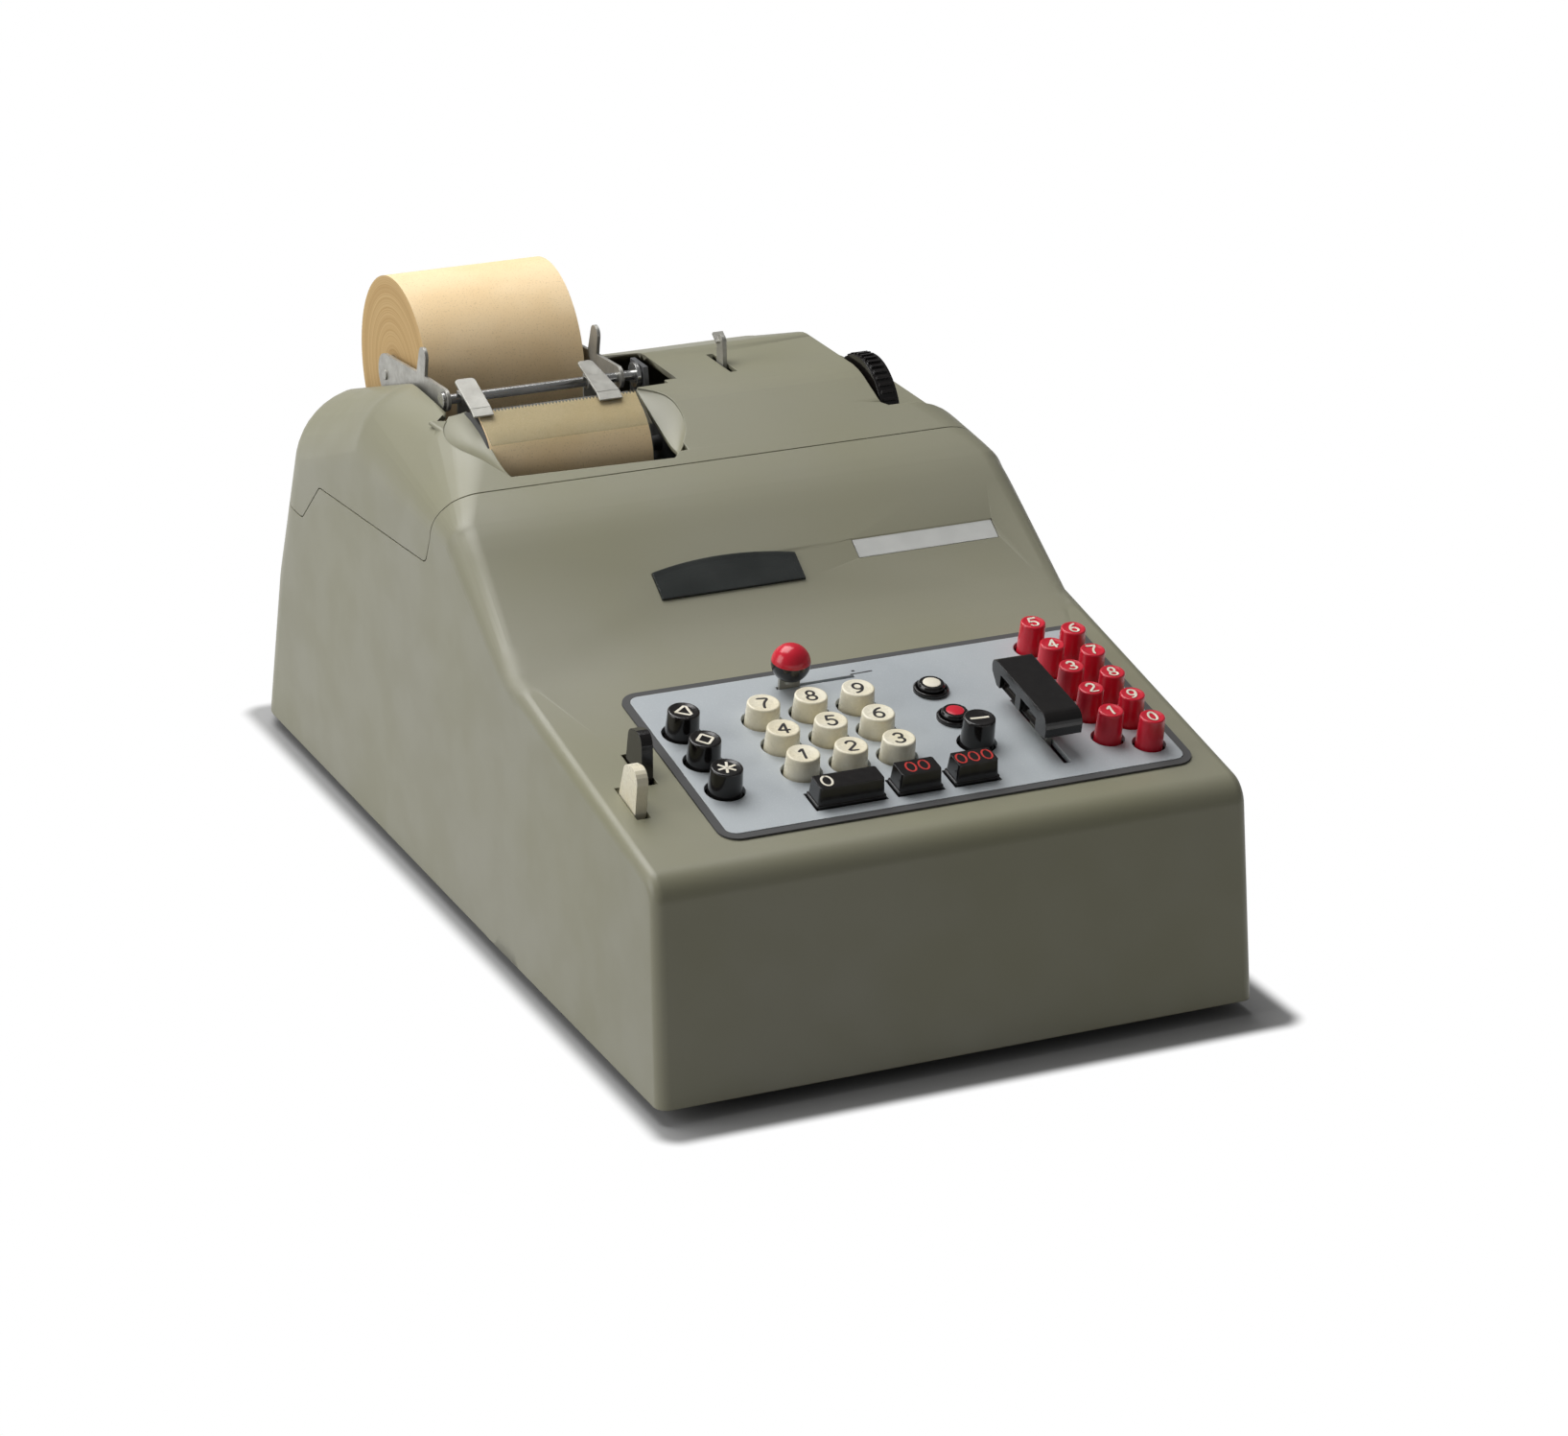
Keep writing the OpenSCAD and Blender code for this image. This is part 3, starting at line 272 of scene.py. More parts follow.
# Zinc-plated pressings: matt grey, faintly mottled, brighter where they rub.
ZINC_STEEL = Finish(
    "zinc_plated_steel", "b4b3ac", "a3a19a", 0.42, metallic=0.55, patch_mm=9, grain_mm=0.5,
    relief_mm=0.003, speck="8c8a84", speck_mm=0.5, speck_share=0.06, edge="dcdad3", edge_mm=0.3
)
BRIGHT_STEEL = Finish(
    "ground_steel", "c4c4c2", "b4b4b2", 0.24, 0.05, metallic=0.9, patch_mm=12, grain_mm=0.3,
    relief_mm=0.001, relief=Relief.ALONG_X, edge_mm=0.3
)
# Wood-pulp paper: warm, soft, with short fibres that show as darker flecks.
BUFF_PAPER = Finish(
    "wood_pulp_paper", "fbe0b4", "f6d8a8", 0.88, 0.04, patch_mm=22, grain_mm=0.6, relief_mm=0.012,
    speck="c4a878", speck_share=0.10, edge_mm=0.2
)
CARD = Finish("grey_card", "b39b76", "a68e6a", 0.9, 0.05, patch_mm=8, grain_mm=0.5, relief_mm=0.03)
PLATEN_RUBBER = Finish("platen_rubber", "232120", "2b2827", 0.62, patch_mm=10, grain_mm=0.4, relief_mm=0.01)
FRAME_STEEL = Finish("rolled_frame_steel", "6e6f70", "626364", 0.5, 0.1, metallic=0.6, patch_mm=20, relief_mm=0.01)
MOTOR_IRON = Finish("cast_motor_iron", "3b3c3e", "444547", 0.55, 0.1, metallic=0.4, patch_mm=12, relief_mm=0.05)
BASE_PAINT = Finish("base_primer", "4d4b42", "55534a", 0.55, patch_mm=30, grain_mm=1.0, relief_mm=0.02)
DARK_SCALE = Finish("scale_tray_black", "1a1a1b", "222223", 0.4, patch_mm=8, grain_mm=0.5, relief_mm=0.003)
# Printed and filled marks on keys and plate: flat paint with a slightly uneven film.
MARK_WHITE = Finish("filled_mark_white", "f2ecdc", "e9e2ce", 0.45, 0.05, patch_mm=4, grain_mm=0.6, relief_mm=0.001)
MARK_BLACK = Finish("filled_mark_black", "1c1817", "262120", 0.4, 0.05, patch_mm=4, grain_mm=0.6, relief_mm=0.001)
MARK_RED = Finish("filled_mark_red", "c8281f", "ba2219", 0.4, 0.05, patch_mm=4, grain_mm=0.6, relief_mm=0.001)

FINISHES = {
    "olive_paint": OLIVE_ENAMEL, "black_rubber": FOOT_RUBBER, "satin_plate": SATIN_PLATE,
    "gasket_rubber": GASKET_RUBBER, "zinc_steel": ZINC_STEEL, "bright_steel": BRIGHT_STEEL,
    "ivory_plastic": IVORY_PLASTIC, "black_plastic": BLACK_PLASTIC, "red_plastic": RED_PLASTIC,
    "dark_scale": DARK_SCALE, "platen_rubber": PLATEN_RUBBER, "buff_paper": BUFF_PAPER,
    "card": CARD, "frame_steel": FRAME_STEEL, "motor_iron": MOTOR_IRON, "base_paint": BASE_PAINT,
}


# ---------- studio ----------
@dataclass(frozen=True)
class SoftBox:
    """One rectangular area lamp: its place, the point it is turned to, its size in metres and its power."""

    name: str
    place: Triple
    aim: Triple
    size: Pair
    watts: float

    def hang(self) -> None:
        """Makes the lamp and turns it to its point."""
        data = bpy.data.lights.new(self.name, "AREA")
        data.shape = "RECTANGLE"
        data.size, data.size_y = self.size
        data.energy = self.watts
        turn = (Vector(self.aim) - Vector(self.place)).to_track_quat("-Z", "Y").to_matrix().to_4x4()
        place_object(self.name, data).matrix_world = Matrix.Translation(self.place) @ turn


@dataclass
class Studio:
    """Camera, floor, world and lamps of a plain product picture."""

    azimuth: float = math.radians(24.1189)
    drop: float = math.radians(21.4189)
    roll: float = math.radians(0.0893)
    place: Triple = (-0.7725928, -1.7884415, 0.8214375)
    focal_px: float = 5521.646
    sensor_mm: float = 36.0
    floor_half: float = 9.0
    world_level: float = 0.16
    footprint: Triple = (0.120, 0.223, 1.0)
    # Middle of the grey band, moved towards the side where the shadow falls: the band's grey is painted shade that
    # deepens the real shadow
    shadow_middle: Triple = (0.005, -0.006, 0.0)
    shadow_reach: Pair = (0.005, 0.013)
    lamps: tuple[SoftBox, ...] = (
        SoftBox("top_soft_box", (-0.25, 0.55, 1.5), (0.0, 0.0, 0.1), (1.2, 1.2), 25.0),
        SoftBox("left_soft_box", (-1.45, 0.12, 0.7), (0.0, 0.0, 0.08), (0.9, 1.0), 10.0),
    )

    def camera(self) -> None:
        """Sets the camera from its compass turn, its drop below level and its roll."""
        turn, drop, roll = self.azimuth, self.drop, self.roll
        ahead = Vector((math.sin(turn) * math.cos(drop), math.cos(turn) * math.cos(drop), -math.sin(drop)))
        right = Vector((math.cos(turn), -math.sin(turn), 0.0))
        above = right.cross(ahead)
        level = (
            math.cos(roll) * right + math.sin(roll) * above, -math.sin(roll) * right + math.cos(roll) * above, -ahead
        )
        data = bpy.data.cameras.new("studio_camera")
        data.sensor_width = self.sensor_mm
        data.lens = self.focal_px * self.sensor_mm / IMAGE_WIDTH
        data.clip_start, data.clip_end = 0.05, 60.0
        camera = place_object("studio_camera", data)
        camera.matrix_world = Matrix.Translation(self.place) @ Matrix(level).transposed().to_4x4()
        bpy.context.scene.camera = camera

    def floor(self) -> None:
        """A wide sheet of grey paper that keeps the shadow round the footprint and is plain white beyond. Its grey
        band is moved towards where the shadow falls, so the grey deepens the real shadow as painted shade.

        The distance from the footprint is the length of max(|p - middle| - half, 0).
        """
        reach = self.floor_half
        mesh = bpy.data.meshes.new("studio_floor")
        corners = [(-reach, -reach, 0), (reach, -reach, 0), (reach, reach, 0), (-reach, reach, 0)]
        mesh.from_pydata(corners, [], [(0, 1, 2, 3)])
        sheet = place_object("studio_floor", mesh)
        material, tree = blank_material("studio_floor_with_painted_shade")
        # Grey matt colour of the band round the footprint: painted shade that darkens the cast shadow beyond what the
        # lamps give
        matt = add(tree, "BsdfDiffuse", {"Color": linear("a8a8a8")}).outputs[0]
        glow = add(tree, "Emission", {"Color": (1, 1, 1, 1), "Strength": 1.0}).outputs[0]
        apart = vectors(tree, "SUBTRACT", object_place(tree), self.shadow_middle)
        apart = vectors(tree, "SUBTRACT", vectors(tree, "ABSOLUTE", apart), self.footprint)
        far = vectors(tree, "LENGTH", vectors(tree, "MAXIMUM", apart))
        share = band(tree, far, *self.shadow_reach, 0.0, 1.0)
        path = add(tree, "LightPath")
        seen = maths(tree, "MAXIMUM", path.outputs["Is Camera Ray"], path.outputs["Is Glossy Ray"])
        seen = maths(tree, "MAXIMUM", seen, path.outputs["Is Transmission Ray"])
        share = maths(tree, "MULTIPLY", share, seen)
        mixed = add(tree, "MixShader", {0: share, 1: matt, 2: glow}).outputs[0]
        add(tree, "OutputMaterial", {"Surface": mixed})
        mesh.materials.append(material)

    def world(self) -> None:
        """An even grey sky that the camera sees as white."""
        world = bpy.data.worlds.new("studio_sky")
        bpy.context.scene.world = world
        world.use_nodes = True
        tree = world.node_tree
        tree.nodes.clear()
        sockets = {0: add(tree, "LightPath").outputs["Is Camera Ray"], 2: self.world_level, 3: 1.0}
        level = add(tree, "Mix", sockets, data_type="FLOAT").outputs[0]
        sky = add(tree, "Background", {"Color": (1, 1, 1, 1), "Strength": level}).outputs[0]
        add(tree, "OutputWorld", {"Surface": sky})

    def build(self) -> None:
        """Sets up everything round the machine."""
        self.camera()
        self.floor()
        self.world()
        for lamp in self.lamps:
            lamp.hang()
        bpy.context.scene.view_settings.view_transform = "Standard"


# ---------- frames and meshes ----------
def to_part(points: np.ndarray) -> np.ndarray:
    """Carries points (x, distance from the front, height above the lower edge; mm) to metres in the part frame."""
    return np.stack([points[:, 0] * MM, points[:, 1] * MM + FRONT_Y, points[:, 2] * MM + LOWER_Z], axis=1)


def deck_points(points: np.ndarray) -> np.ndarray:
    """Carries points from the deck's frame (x, up the slope, outwards; mm) to metres in the part frame.

    The deck's frame starts at the middle of its front edge and is pitched about X by DECK_PITCH:
    y = v cos p - n sin p + front, z = v sin p + n cos p + height of the front edge.
    """
    x, v, n = points[:, 0], points[:, 1], points[:, 2]
    y = v * math.cos(DECK_PITCH) - n * math.sin(DECK_PITCH)
    z = v * math.sin(DECK_PITCH) + n * math.cos(DECK_PITCH)
    return np.stack([x * MM, y * MM + FRONT_Y, z * MM + DECK_FRONT_Z + LOWER_Z], axis=1)


def face_outwards(mesh: Mesh, merge: float = 0.0) -> None:
    """Turns a mesh's faces outwards, first merging points closer than merge metres where that is set."""
    shape = bmesh.new()
    shape.from_mesh(mesh)
    if merge:
        bmesh.ops.remove_doubles(shape, verts=shape.verts, dist=merge)
        bmesh.ops.dissolve_degenerate(shape, edges=shape.edges, dist=merge / 2)
    bmesh.ops.recalc_face_normals(shape, faces=shape.faces)
    shape.to_mesh(mesh)
    shape.free()


def new_piece(name: str, points: np.ndarray, faces: object, finish: Finish, body: str, slot: str) -> Object:
    """Makes a mesh piece from whole arrays, merges its seams, turns its faces outwards and rides it on a body.

    Args:
        name: the piece's name.
        points: array of shape (count, 3) in metres.
        faces: the numbers of each face's points.
        finish: the finish it is given.
        body: the CAD body it moves with.
        slot: the record's material slot; not used.
    """
    mesh = bpy.data.meshes.new(name)
    mesh.from_pydata(points.tolist(), [], [[int(i) for i in face] for face in faces])
    face_outwards(mesh, 2e-7)
    mesh.shade_smooth()
    mesh.set_sharp_from_angle(angle=SHARP)
    piece = place_object(name, mesh)
    mesh.materials.append(finish.material())
    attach(piece, body)
    LOG.info("built %s with %d faces", name, len(mesh.polygons))
    return piece


def grid_faces(rows: int, columns: int) -> np.ndarray:
    """Quads of a grid of rows by columns of points, each row closed to a ring."""
    row, column = np.meshgrid(np.arange(rows - 1), np.arange(columns), indexing="ij")
    after = (column + 1) % columns
    quads = [row * columns + column, row * columns + after, (row + 1) * columns + after, (row + 1) * columns + column]
    return np.stack([q.ravel() for q in quads], axis=1)


def plate_faces(count: int) -> list[list[int]]:
    """Faces of an outline of count points carried from one level to another, closed at both ends."""
    return grid_faces(2, count).tolist() + [list(range(count)), list(range(count, 2 * count))]


def bar_faces(sections: int) -> np.ndarray:
    """Faces of a bar of four-cornered sections, with a quad over each end."""
    last = 4 * sections - 1
    ends = np.array([[0, 1, 2, 3], [last, last - 1, last - 2, last - 3]])
    return np.concatenate([grid_faces(sections, 4), ends])


def arc(cx: float, cy: float, rx: float, ry: float, start: float, stop: float, count: int = 26) -> np.ndarray:
    """Points of an elliptic arc between two angles in degrees: centre plus radii times cosine and sine."""
    angle = np.radians(np.linspace(start, stop, count))
    return np.stack([cx + rx * np.cos(angle), cy + ry * np.sin(angle)], axis=1)


def line(*points: Pair) -> np.ndarray:
    """Points of a broken line, each stretch cut into short steps so that it can follow a dished key."""
    ends = np.array(points)
    steps = [np.linspace(a, b, 9)[:-1] for a, b in zip(ends[:-1], ends[1:])]
    return np.concatenate([*steps, ends[-1:]])


STROKES = {
    "0": [arc(0, 0, 0.29, 0.5, 90, 450)],
    "1": [line((-0.2, 0.24), (0.04, 0.5), (0.04, -0.5))],
    "2": [np.concatenate([arc(0, 0.23, 0.28, 0.27, 165, -28), line((-0.28, -0.5), (0.32, -0.5))])],
    "3": [arc(-0.01, 0.25, 0.26, 0.25, 155, -90), arc(-0.01, -0.23, 0.3, 0.27, 90, -150)],
    "4": [line((0.14, -0.5), (0.14, 0.5), (-0.33, -0.2), (0.33, -0.2))],
    "5": [np.concatenate([line((0.26, 0.5), (-0.2, 0.5), (-0.25, 0.06)), arc(0, -0.18, 0.3, 0.32, 128, -150)])],
    "6": [arc(0, -0.2, 0.29, 0.3, 90, 450), arc(0.27, -0.18, 0.56, 0.68, 180, 98)],
    "7": [np.concatenate([line((-0.3, 0.5), (0.3, 0.5)), arc(0.55, -0.5, 0.6, 0.95, 118, 180, 14)])],
    "8": [arc(0, 0.26, 0.23, 0.24, 90, 450), arc(0, -0.24, 0.29, 0.26, 90, 450)],
    "9": [arc(0, 0.2, 0.29, 0.3, 90, 450), arc(-0.27, 0.18, 0.56, 0.68, 0, -82)],
    "wedge": [line((-0.5, 0.0), (0.3, 0.55), (0.3, -0.55), (-0.5, 0.0))],
    "diamond": [line((-0.46, 0.0), (0.0, 0.5), (0.46, 0.0), (0.0, -0.5), (-0.46, 0.0))],
    "star": [line((-0.5, -0.1), (0.5, 0.1)), line((-0.16, -0.48), (0.16, 0.48)), line((0.34, -0.36), (-0.34, 0.36))],
    "dash": [line((-0.5, 0.0), (0.5, 0.0))],
}


@dataclass(frozen=True)
class Mark:
    """One filled mark on a key or on the plate: its strokes, place, size and turn (in degrees) on the deck."""

    glyph: str
    x: float
    v: float
    n: float
    height: float
    stretch: float = 1.0
    stroke: float = 1.0
    turn: float = 0.0
    dish: float = 0.0
    film: float = 0.05

    def ribbon(self, path: np.ndarray) -> tuple[np.ndarray, np.ndarray]:
        """A flat bar with rounded ends carried along a path.

        Each path point gives two points half a stroke to its left and right, and the ends carry on in
        half circles. Top and foot follow the key's dish: height grows with the square of the distance
        from the mark's middle.
        """
        size = np.array([self.height * self.stretch, self.height])
        path = path * size
        along = np.gradient(path, axis=0)
        along /= np.maximum(np.linalg.norm(along, axis=1, keepdims=True), 1e-9)
        aside = np.stack([-along[:, 1], along[:, 0]], axis=1)
        half = self.stroke / 2
        swing = np.linspace(0, 0.5 * math.pi, 5)[:0:-1]
        start = [path[0] - half * (math.sin(a) * along[0]) for a in swing]
        stop = [path[-1] + half * (math.sin(a) * along[-1]) for a in swing[::-1]]
        spine = np.concatenate([start, path, stop])
        reach = np.concatenate([half * np.cos(swing), np.full(len(path), half), half * np.cos(swing[::-1])])
        side = np.concatenate([np.tile(aside[0], (4, 1)), aside, np.tile(aside[-1], (4, 1))])
        reach = np.maximum(reach, 0.01)[:, None]
        left, right = spine + side * reach, spine - side * reach
        cos, sin = math.cos(math.radians(self.turn)), math.sin(math.radians(self.turn))
        rings = []
        for flat, height in ((left, 0.0), (left, self.film), (right, self.film), (right, 0.0)):
            x = flat[:, 0] * cos - flat[:, 1] * sin
            v = flat[:, 0] * sin + flat[:, 1] * cos
            rise = self.dish * (x**2 + v**2) / DISH_RADIUS**2
            rings.append(np.stack([x + self.x, v + self.v, self.n + rise + height - 0.02], axis=1))
        return np.stack(rings, axis=1).reshape(-1, 3), bar_faces(len(spine))


def place_marks(name: str, marks: list[Mark], finish: Finish, body: str, slot: str) -> None:
    """Builds several marks of one finish on one body as one piece."""
    points, faces, start = [], [], 0
    for mark in marks:
        for stroke in STROKES[mark.glyph]:
            some, quads = mark.ribbon(stroke)
            points.append(some)
            faces.append(quads + start)
            start += len(some)
    new_piece(name, deck_points(np.concatenate(points)), np.concatenate(faces), finish, body, slot)


def disc(
    name: str, x: float, v: float, n: float, radius: float, crown: float, finish: Finish, body: str, slot: str
) -> None:
    """A domed disc: a profile turned round the deck's normal, its height falling as the square of the radius."""
    share = np.concatenate([np.sin(np.linspace(0, 0.5 * math.pi, 9)), [1.0]])
    rise = np.concatenate([crown * (1 - share[:-1] ** 2) + 0.06, [-0.1]])
    angle = np.linspace(0, 2 * math.pi, 48, endpoint=False)
    ring = share[:, None] * radius
    height = n + rise[:, None] + 0 * ring * angle
    points = np.stack([x + ring * np.cos(angle), v + ring * np.sin(angle), height], axis=-1).reshape(-1, 3)
    new_piece(name, deck_points(points), grid_faces(len(share), len(angle)), finish, body, slot)


# ---------- shells ----------
def soften(piece: Object, edge: float) -> None:
    """Rounds a piece's edges by edge millimetres with a Bevel modifier."""
    bevel = piece.modifiers.new("soft_edges", "BEVEL")
    bevel.width = edge * MM
    bevel.segments = 2
    bevel.limit_method = "ANGLE"
    bevel.angle_limit = SHARP
    bevel.harden_normals = True


def zinc_plate(name: str, outline: np.ndarray, low: float, high: float, edge: float = 0.0) -> Object:
    """A zinc-plated pressing: an outline in y and z, carried along X from low to high; edge sets its bevel, mm."""
    count = len(outline)
    points = to_part(np.concatenate([np.column_stack([np.full(count, x), outline]) for x in (low, high)]))
    piece = new_piece(name, points, plate_faces(count), ZINC_STEEL, "machine", "zinc_steel")
    if edge:
        soften(piece, edge)
    return piece


def hull_height(y: np.ndarray, balls: np.ndarray) -> np.ndarray:
    """Height of the skin stretched over balls in side view.

    Height is the least, over all leaning lines that touch the balls from above, of the line's height at
    y: (greatest over the balls of (c_y sin t + c_z cos t + r) - y sin t) / cos t.

    Args:
        y: distances from the front, mm.
        balls: rows of distance from the front, height and radius.
    """
    lean = np.radians(np.linspace(-70, 70, 701))
    sin, cos = np.sin(lean)[:, None], np.cos(lean)[:, None]
    reach = (balls[:, 0] * sin + balls[:, 1] * cos + balls[:, 2]).max(axis=1)[:, None]
    return ((reach - y[None, :] * sin) / cos).min(axis=0)


# Balls inside the shell's skin behind the brow: distance from the front, height and radius, mm.
HOOD_BALLS = (
    (272.0, 136.0, 38.0), (313.0, 144.0, 30.0), (350.0, 126.0, 29.5), (381.0, 119.0, 33.0), (403.0, 64.0, 26.0),
)


@dataclass
class Shells:
    """Housing and rear cover as smooth skins over the CAD's facets, with the brow's long turn."""

    angle: float = math.radians(31.0)
    names: tuple[str, ...] = ("housing", "rear_cover")
    cad_balls: tuple = ((138.37, 97.39, 6.0), (213.0, 142.29, 10.8), *HOOD_BALLS)
    turned_balls: tuple = (
        (138.37, 97.39, 6.0), (204.5, 136.52, 10.8), (209.02, 139.41, 10.8), (213.69, 142.03, 10.8),
        (218.5, 144.39, 10.8), (223.44, 146.47, 10.8), *HOOD_BALLS,
    )
    fade: Pair = (14.0, 46.0)
    cuts: Triple = (197.0, 262.0, 1.5)
    turned: Pair = (196.0, 264.0)

    def drop(self, y: np.ndarray) -> np.ndarray:
        """How far the turned brow lies below the CAD's one at distances y from the front, mm."""
        return hull_height(y, np.array(self.cad_balls)) - hull_height(y, np.array(self.turned_balls))

    def turn_brow(self, shape: bmesh.types.BMesh) -> None:
        """Cuts the brow into narrow bands and lowers each by its drop, fading out down the sides."""
        for y in np.arange(*self.cuts):
            every = shape.verts[:] + shape.edges[:] + shape.faces[:]
            bmesh.ops.bisect_plane(shape, geom=every, plane_co=(0, y * MM + FRONT_Y, 0), plane_no=(0, 1, 0), dist=1e-7)
        place = np.array([v.co[:] for v in shape.verts])
        y = (place[:, 1] - FRONT_Y) / MM
        below = hull_height(y, np.array(self.cad_balls)) - (place[:, 2] - LOWER_Z) / MM
        share = np.clip((self.fade[1] - below) / (self.fade[1] - self.fade[0]), 0, 1)
        share = share * share * (3 - 2 * share)
        inside = (y > self.turned[0]) & (y < self.turned[1])
        place[:, 2] -= np.where(inside, self.drop(y) * share, 0.0) * MM
        for vert, z in zip(shape.verts, place[:, 2]):
            vert.co.z = z

    def build(self) -> None:
        """Copies each shell, merges its loose triangles, turns the brow and shades the skin smooth."""
        for name in self.names:
            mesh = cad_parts[name].data.copy()
            shape = bmesh.new()
            shape.from_mesh(mesh)
            bmesh.ops.remove_doubles(shape, verts=shape.verts, dist=2e-6)
            bmesh.ops.dissolve_degenerate(shape, edges=shape.edges, dist=1e-6)
            self.turn_brow(shape)
            shape.to_mesh(mesh)
            shape.free()
            mesh.name = name + "_skin"
            mesh.materials.clear()
            mesh.materials.append(OLIVE_ENAMEL.material())
            skin = place_object(name + "_skin", mesh)
            if name == "rear_cover":
                PaperBay().open(skin)
            skin.data.shade_smooth()
            skin.data.set_sharp_from_angle(angle=self.angle)
            weighted = skin.modifiers.new("even_normals", "WEIGHTED_NORMAL")
            weighted.keep_sharp = True
            weighted.weight = 60
            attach(skin, "machine")
            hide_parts(name)
            LOG.info("smoothed %s, %d faces", name, len(skin.data.polygons))


@dataclass
class PaperBay:
    """Opening of the rear cover round the platen, with a dished flank on each side. Millimetres."""

    right_rim: tuple = (
        (-15.2, 228.6, 159.5), (-9.0, 236.0, 162.4), (-4.0, 245.0, 165.9), (-2.2, 254.6, 169.6), (-4.0, 265.0, 172.9),
        (-11.5, 276.5, 173.7),
    )
    right_edge: tuple = (
        (-15.6, 229.8, 159.4), (-12.0, 235.0, 159.2), (-12.0, 242.0, 160.5), (-12.0, 252.0, 163.8),
        (-12.0, 263.0, 167.9), (-12.0, 276.5, 172.8),
    )
    left_rim: tuple = (
        (-83.2, 230.6, 160.4), (-88.0, 238.0, 163.3), (-94.0, 248.0, 166.4), (-97.5, 259.0, 167.5),
        (-96.5, 269.0, 169.4), (-91.0, 277.0, 172.1),
    )
    left_edge: tuple = (
        (-82.6, 231.6, 160.3), (-83.4, 238.0, 162.0), (-83.4, 247.0, 164.8), (-83.4, 258.0, 169.6),
        (-83.4, 268.0, 172.2), (-83.4, 277.0, 173.3),
    )
    dish: tuple = (0.05, 0.5, 0.8, 0.8, 0.6, 0.15)
    thick: float = 1.5
    overlap: float = 0.4
    back: tuple = ((2.0, 277.0), (2.0, 480.0), (-90.5, 480.0), (-90.5, 277.2))
    cut_z: Pair = (138.0, 240.0)

    @staticmethod
    def smooth(corners: np.ndarray, steps: int = 6) -> np.ndarray:
        """Points of a smooth curve through the corners.

        Each piece is the cubic that meets both corners with slopes of half the difference of their neighbours.
        """
        slope = np.gradient(corners, axis=0)
        t = np.linspace(0, 1, steps, endpoint=False)[None, :, None]
        a, b = corners[:-1, None], corners[1:, None]
        sa, sb = slope[:-1, None], slope[1:, None]
        curve = (2 * t**3 - 3 * t**2 + 1) * a + (t**3 - 2 * t**2 + t) * sa
        curve = curve + (3 * t**2 - 2 * t**3) * b + (t**3 - t**2) * sb
        return np.concatenate([curve.reshape(-1, corners.shape[1]), corners[-1:]])

    def flank(self, rim: tuple, edge: tuple) -> tuple[np.ndarray, np.ndarray]:
        """A dished sheet between two curves.

        Across it, a point lies at rim plus u times (edge minus rim), less the dish times 4u(1-u). Its
        underside lies one thickness below.
        """
        a, b = self.smooth(np.array(rim)), self.smooth(np.array(edge))
        dip = self.smooth(np.array(self.dish)[:, None])
        u = np.linspace(0, 1, 7)
        top = a[:, None] + u[None, :, None] * (b - a)[:, None]
        top[:, :, 2] -= dip * 4 * u * (1 - u)
        under = top[:, ::-1].copy()
        under[:, :, 2] -= self.thick
        ring = np.concatenate([top, under], axis=1)
        return to_part(ring.reshape(-1, 3)), grid_faces(*ring.shape[:2])

    def open(self, skin: Object) -> None:
        """Cuts the opening through the cover's skin and sets a dished flank on each side of it."""
        right, left = self.smooth(np.array(self.right_rim)), self.smooth(np.array(self.left_rim))[::-1]
        outline = np.concatenate([right[:, :2] - (self.overlap, 0), self.back, left[:, :2] + (self.overlap, 0)])
        count = len(outline)
        points = to_part(np.concatenate([np.column_stack([outline, np.full(count, z)]) for z in self.cut_z]))
        cutter_mesh = bpy.data.meshes.new("bay_cutter")
        cutter_mesh.from_pydata(points.tolist(), [], plate_faces(count))
        face_outwards(cutter_mesh)
        cutter = place_object("bay_cutter", cutter_mesh)
        cut = skin.modifiers.new("bay", "BOOLEAN")
        cut.operation, cut.solver, cut.object = "DIFFERENCE", "EXACT", cutter
        bpy.context.view_layer.update()
        shaped = bpy.data.meshes.new_from_object(skin.evaluated_get(bpy.context.evaluated_depsgraph_get()))
        skin.modifiers.clear()
        skin.data = shaped
        bpy.data.objects.remove(cutter)
        sides = (("flank_right", self.right_rim, self.right_edge), ("flank_left", self.left_rim, self.left_edge))
        for name, rim, edge in sides:
            new_piece(name, *self.flank(rim, edge), OLIVE_ENAMEL, "machine", "olive_paint")


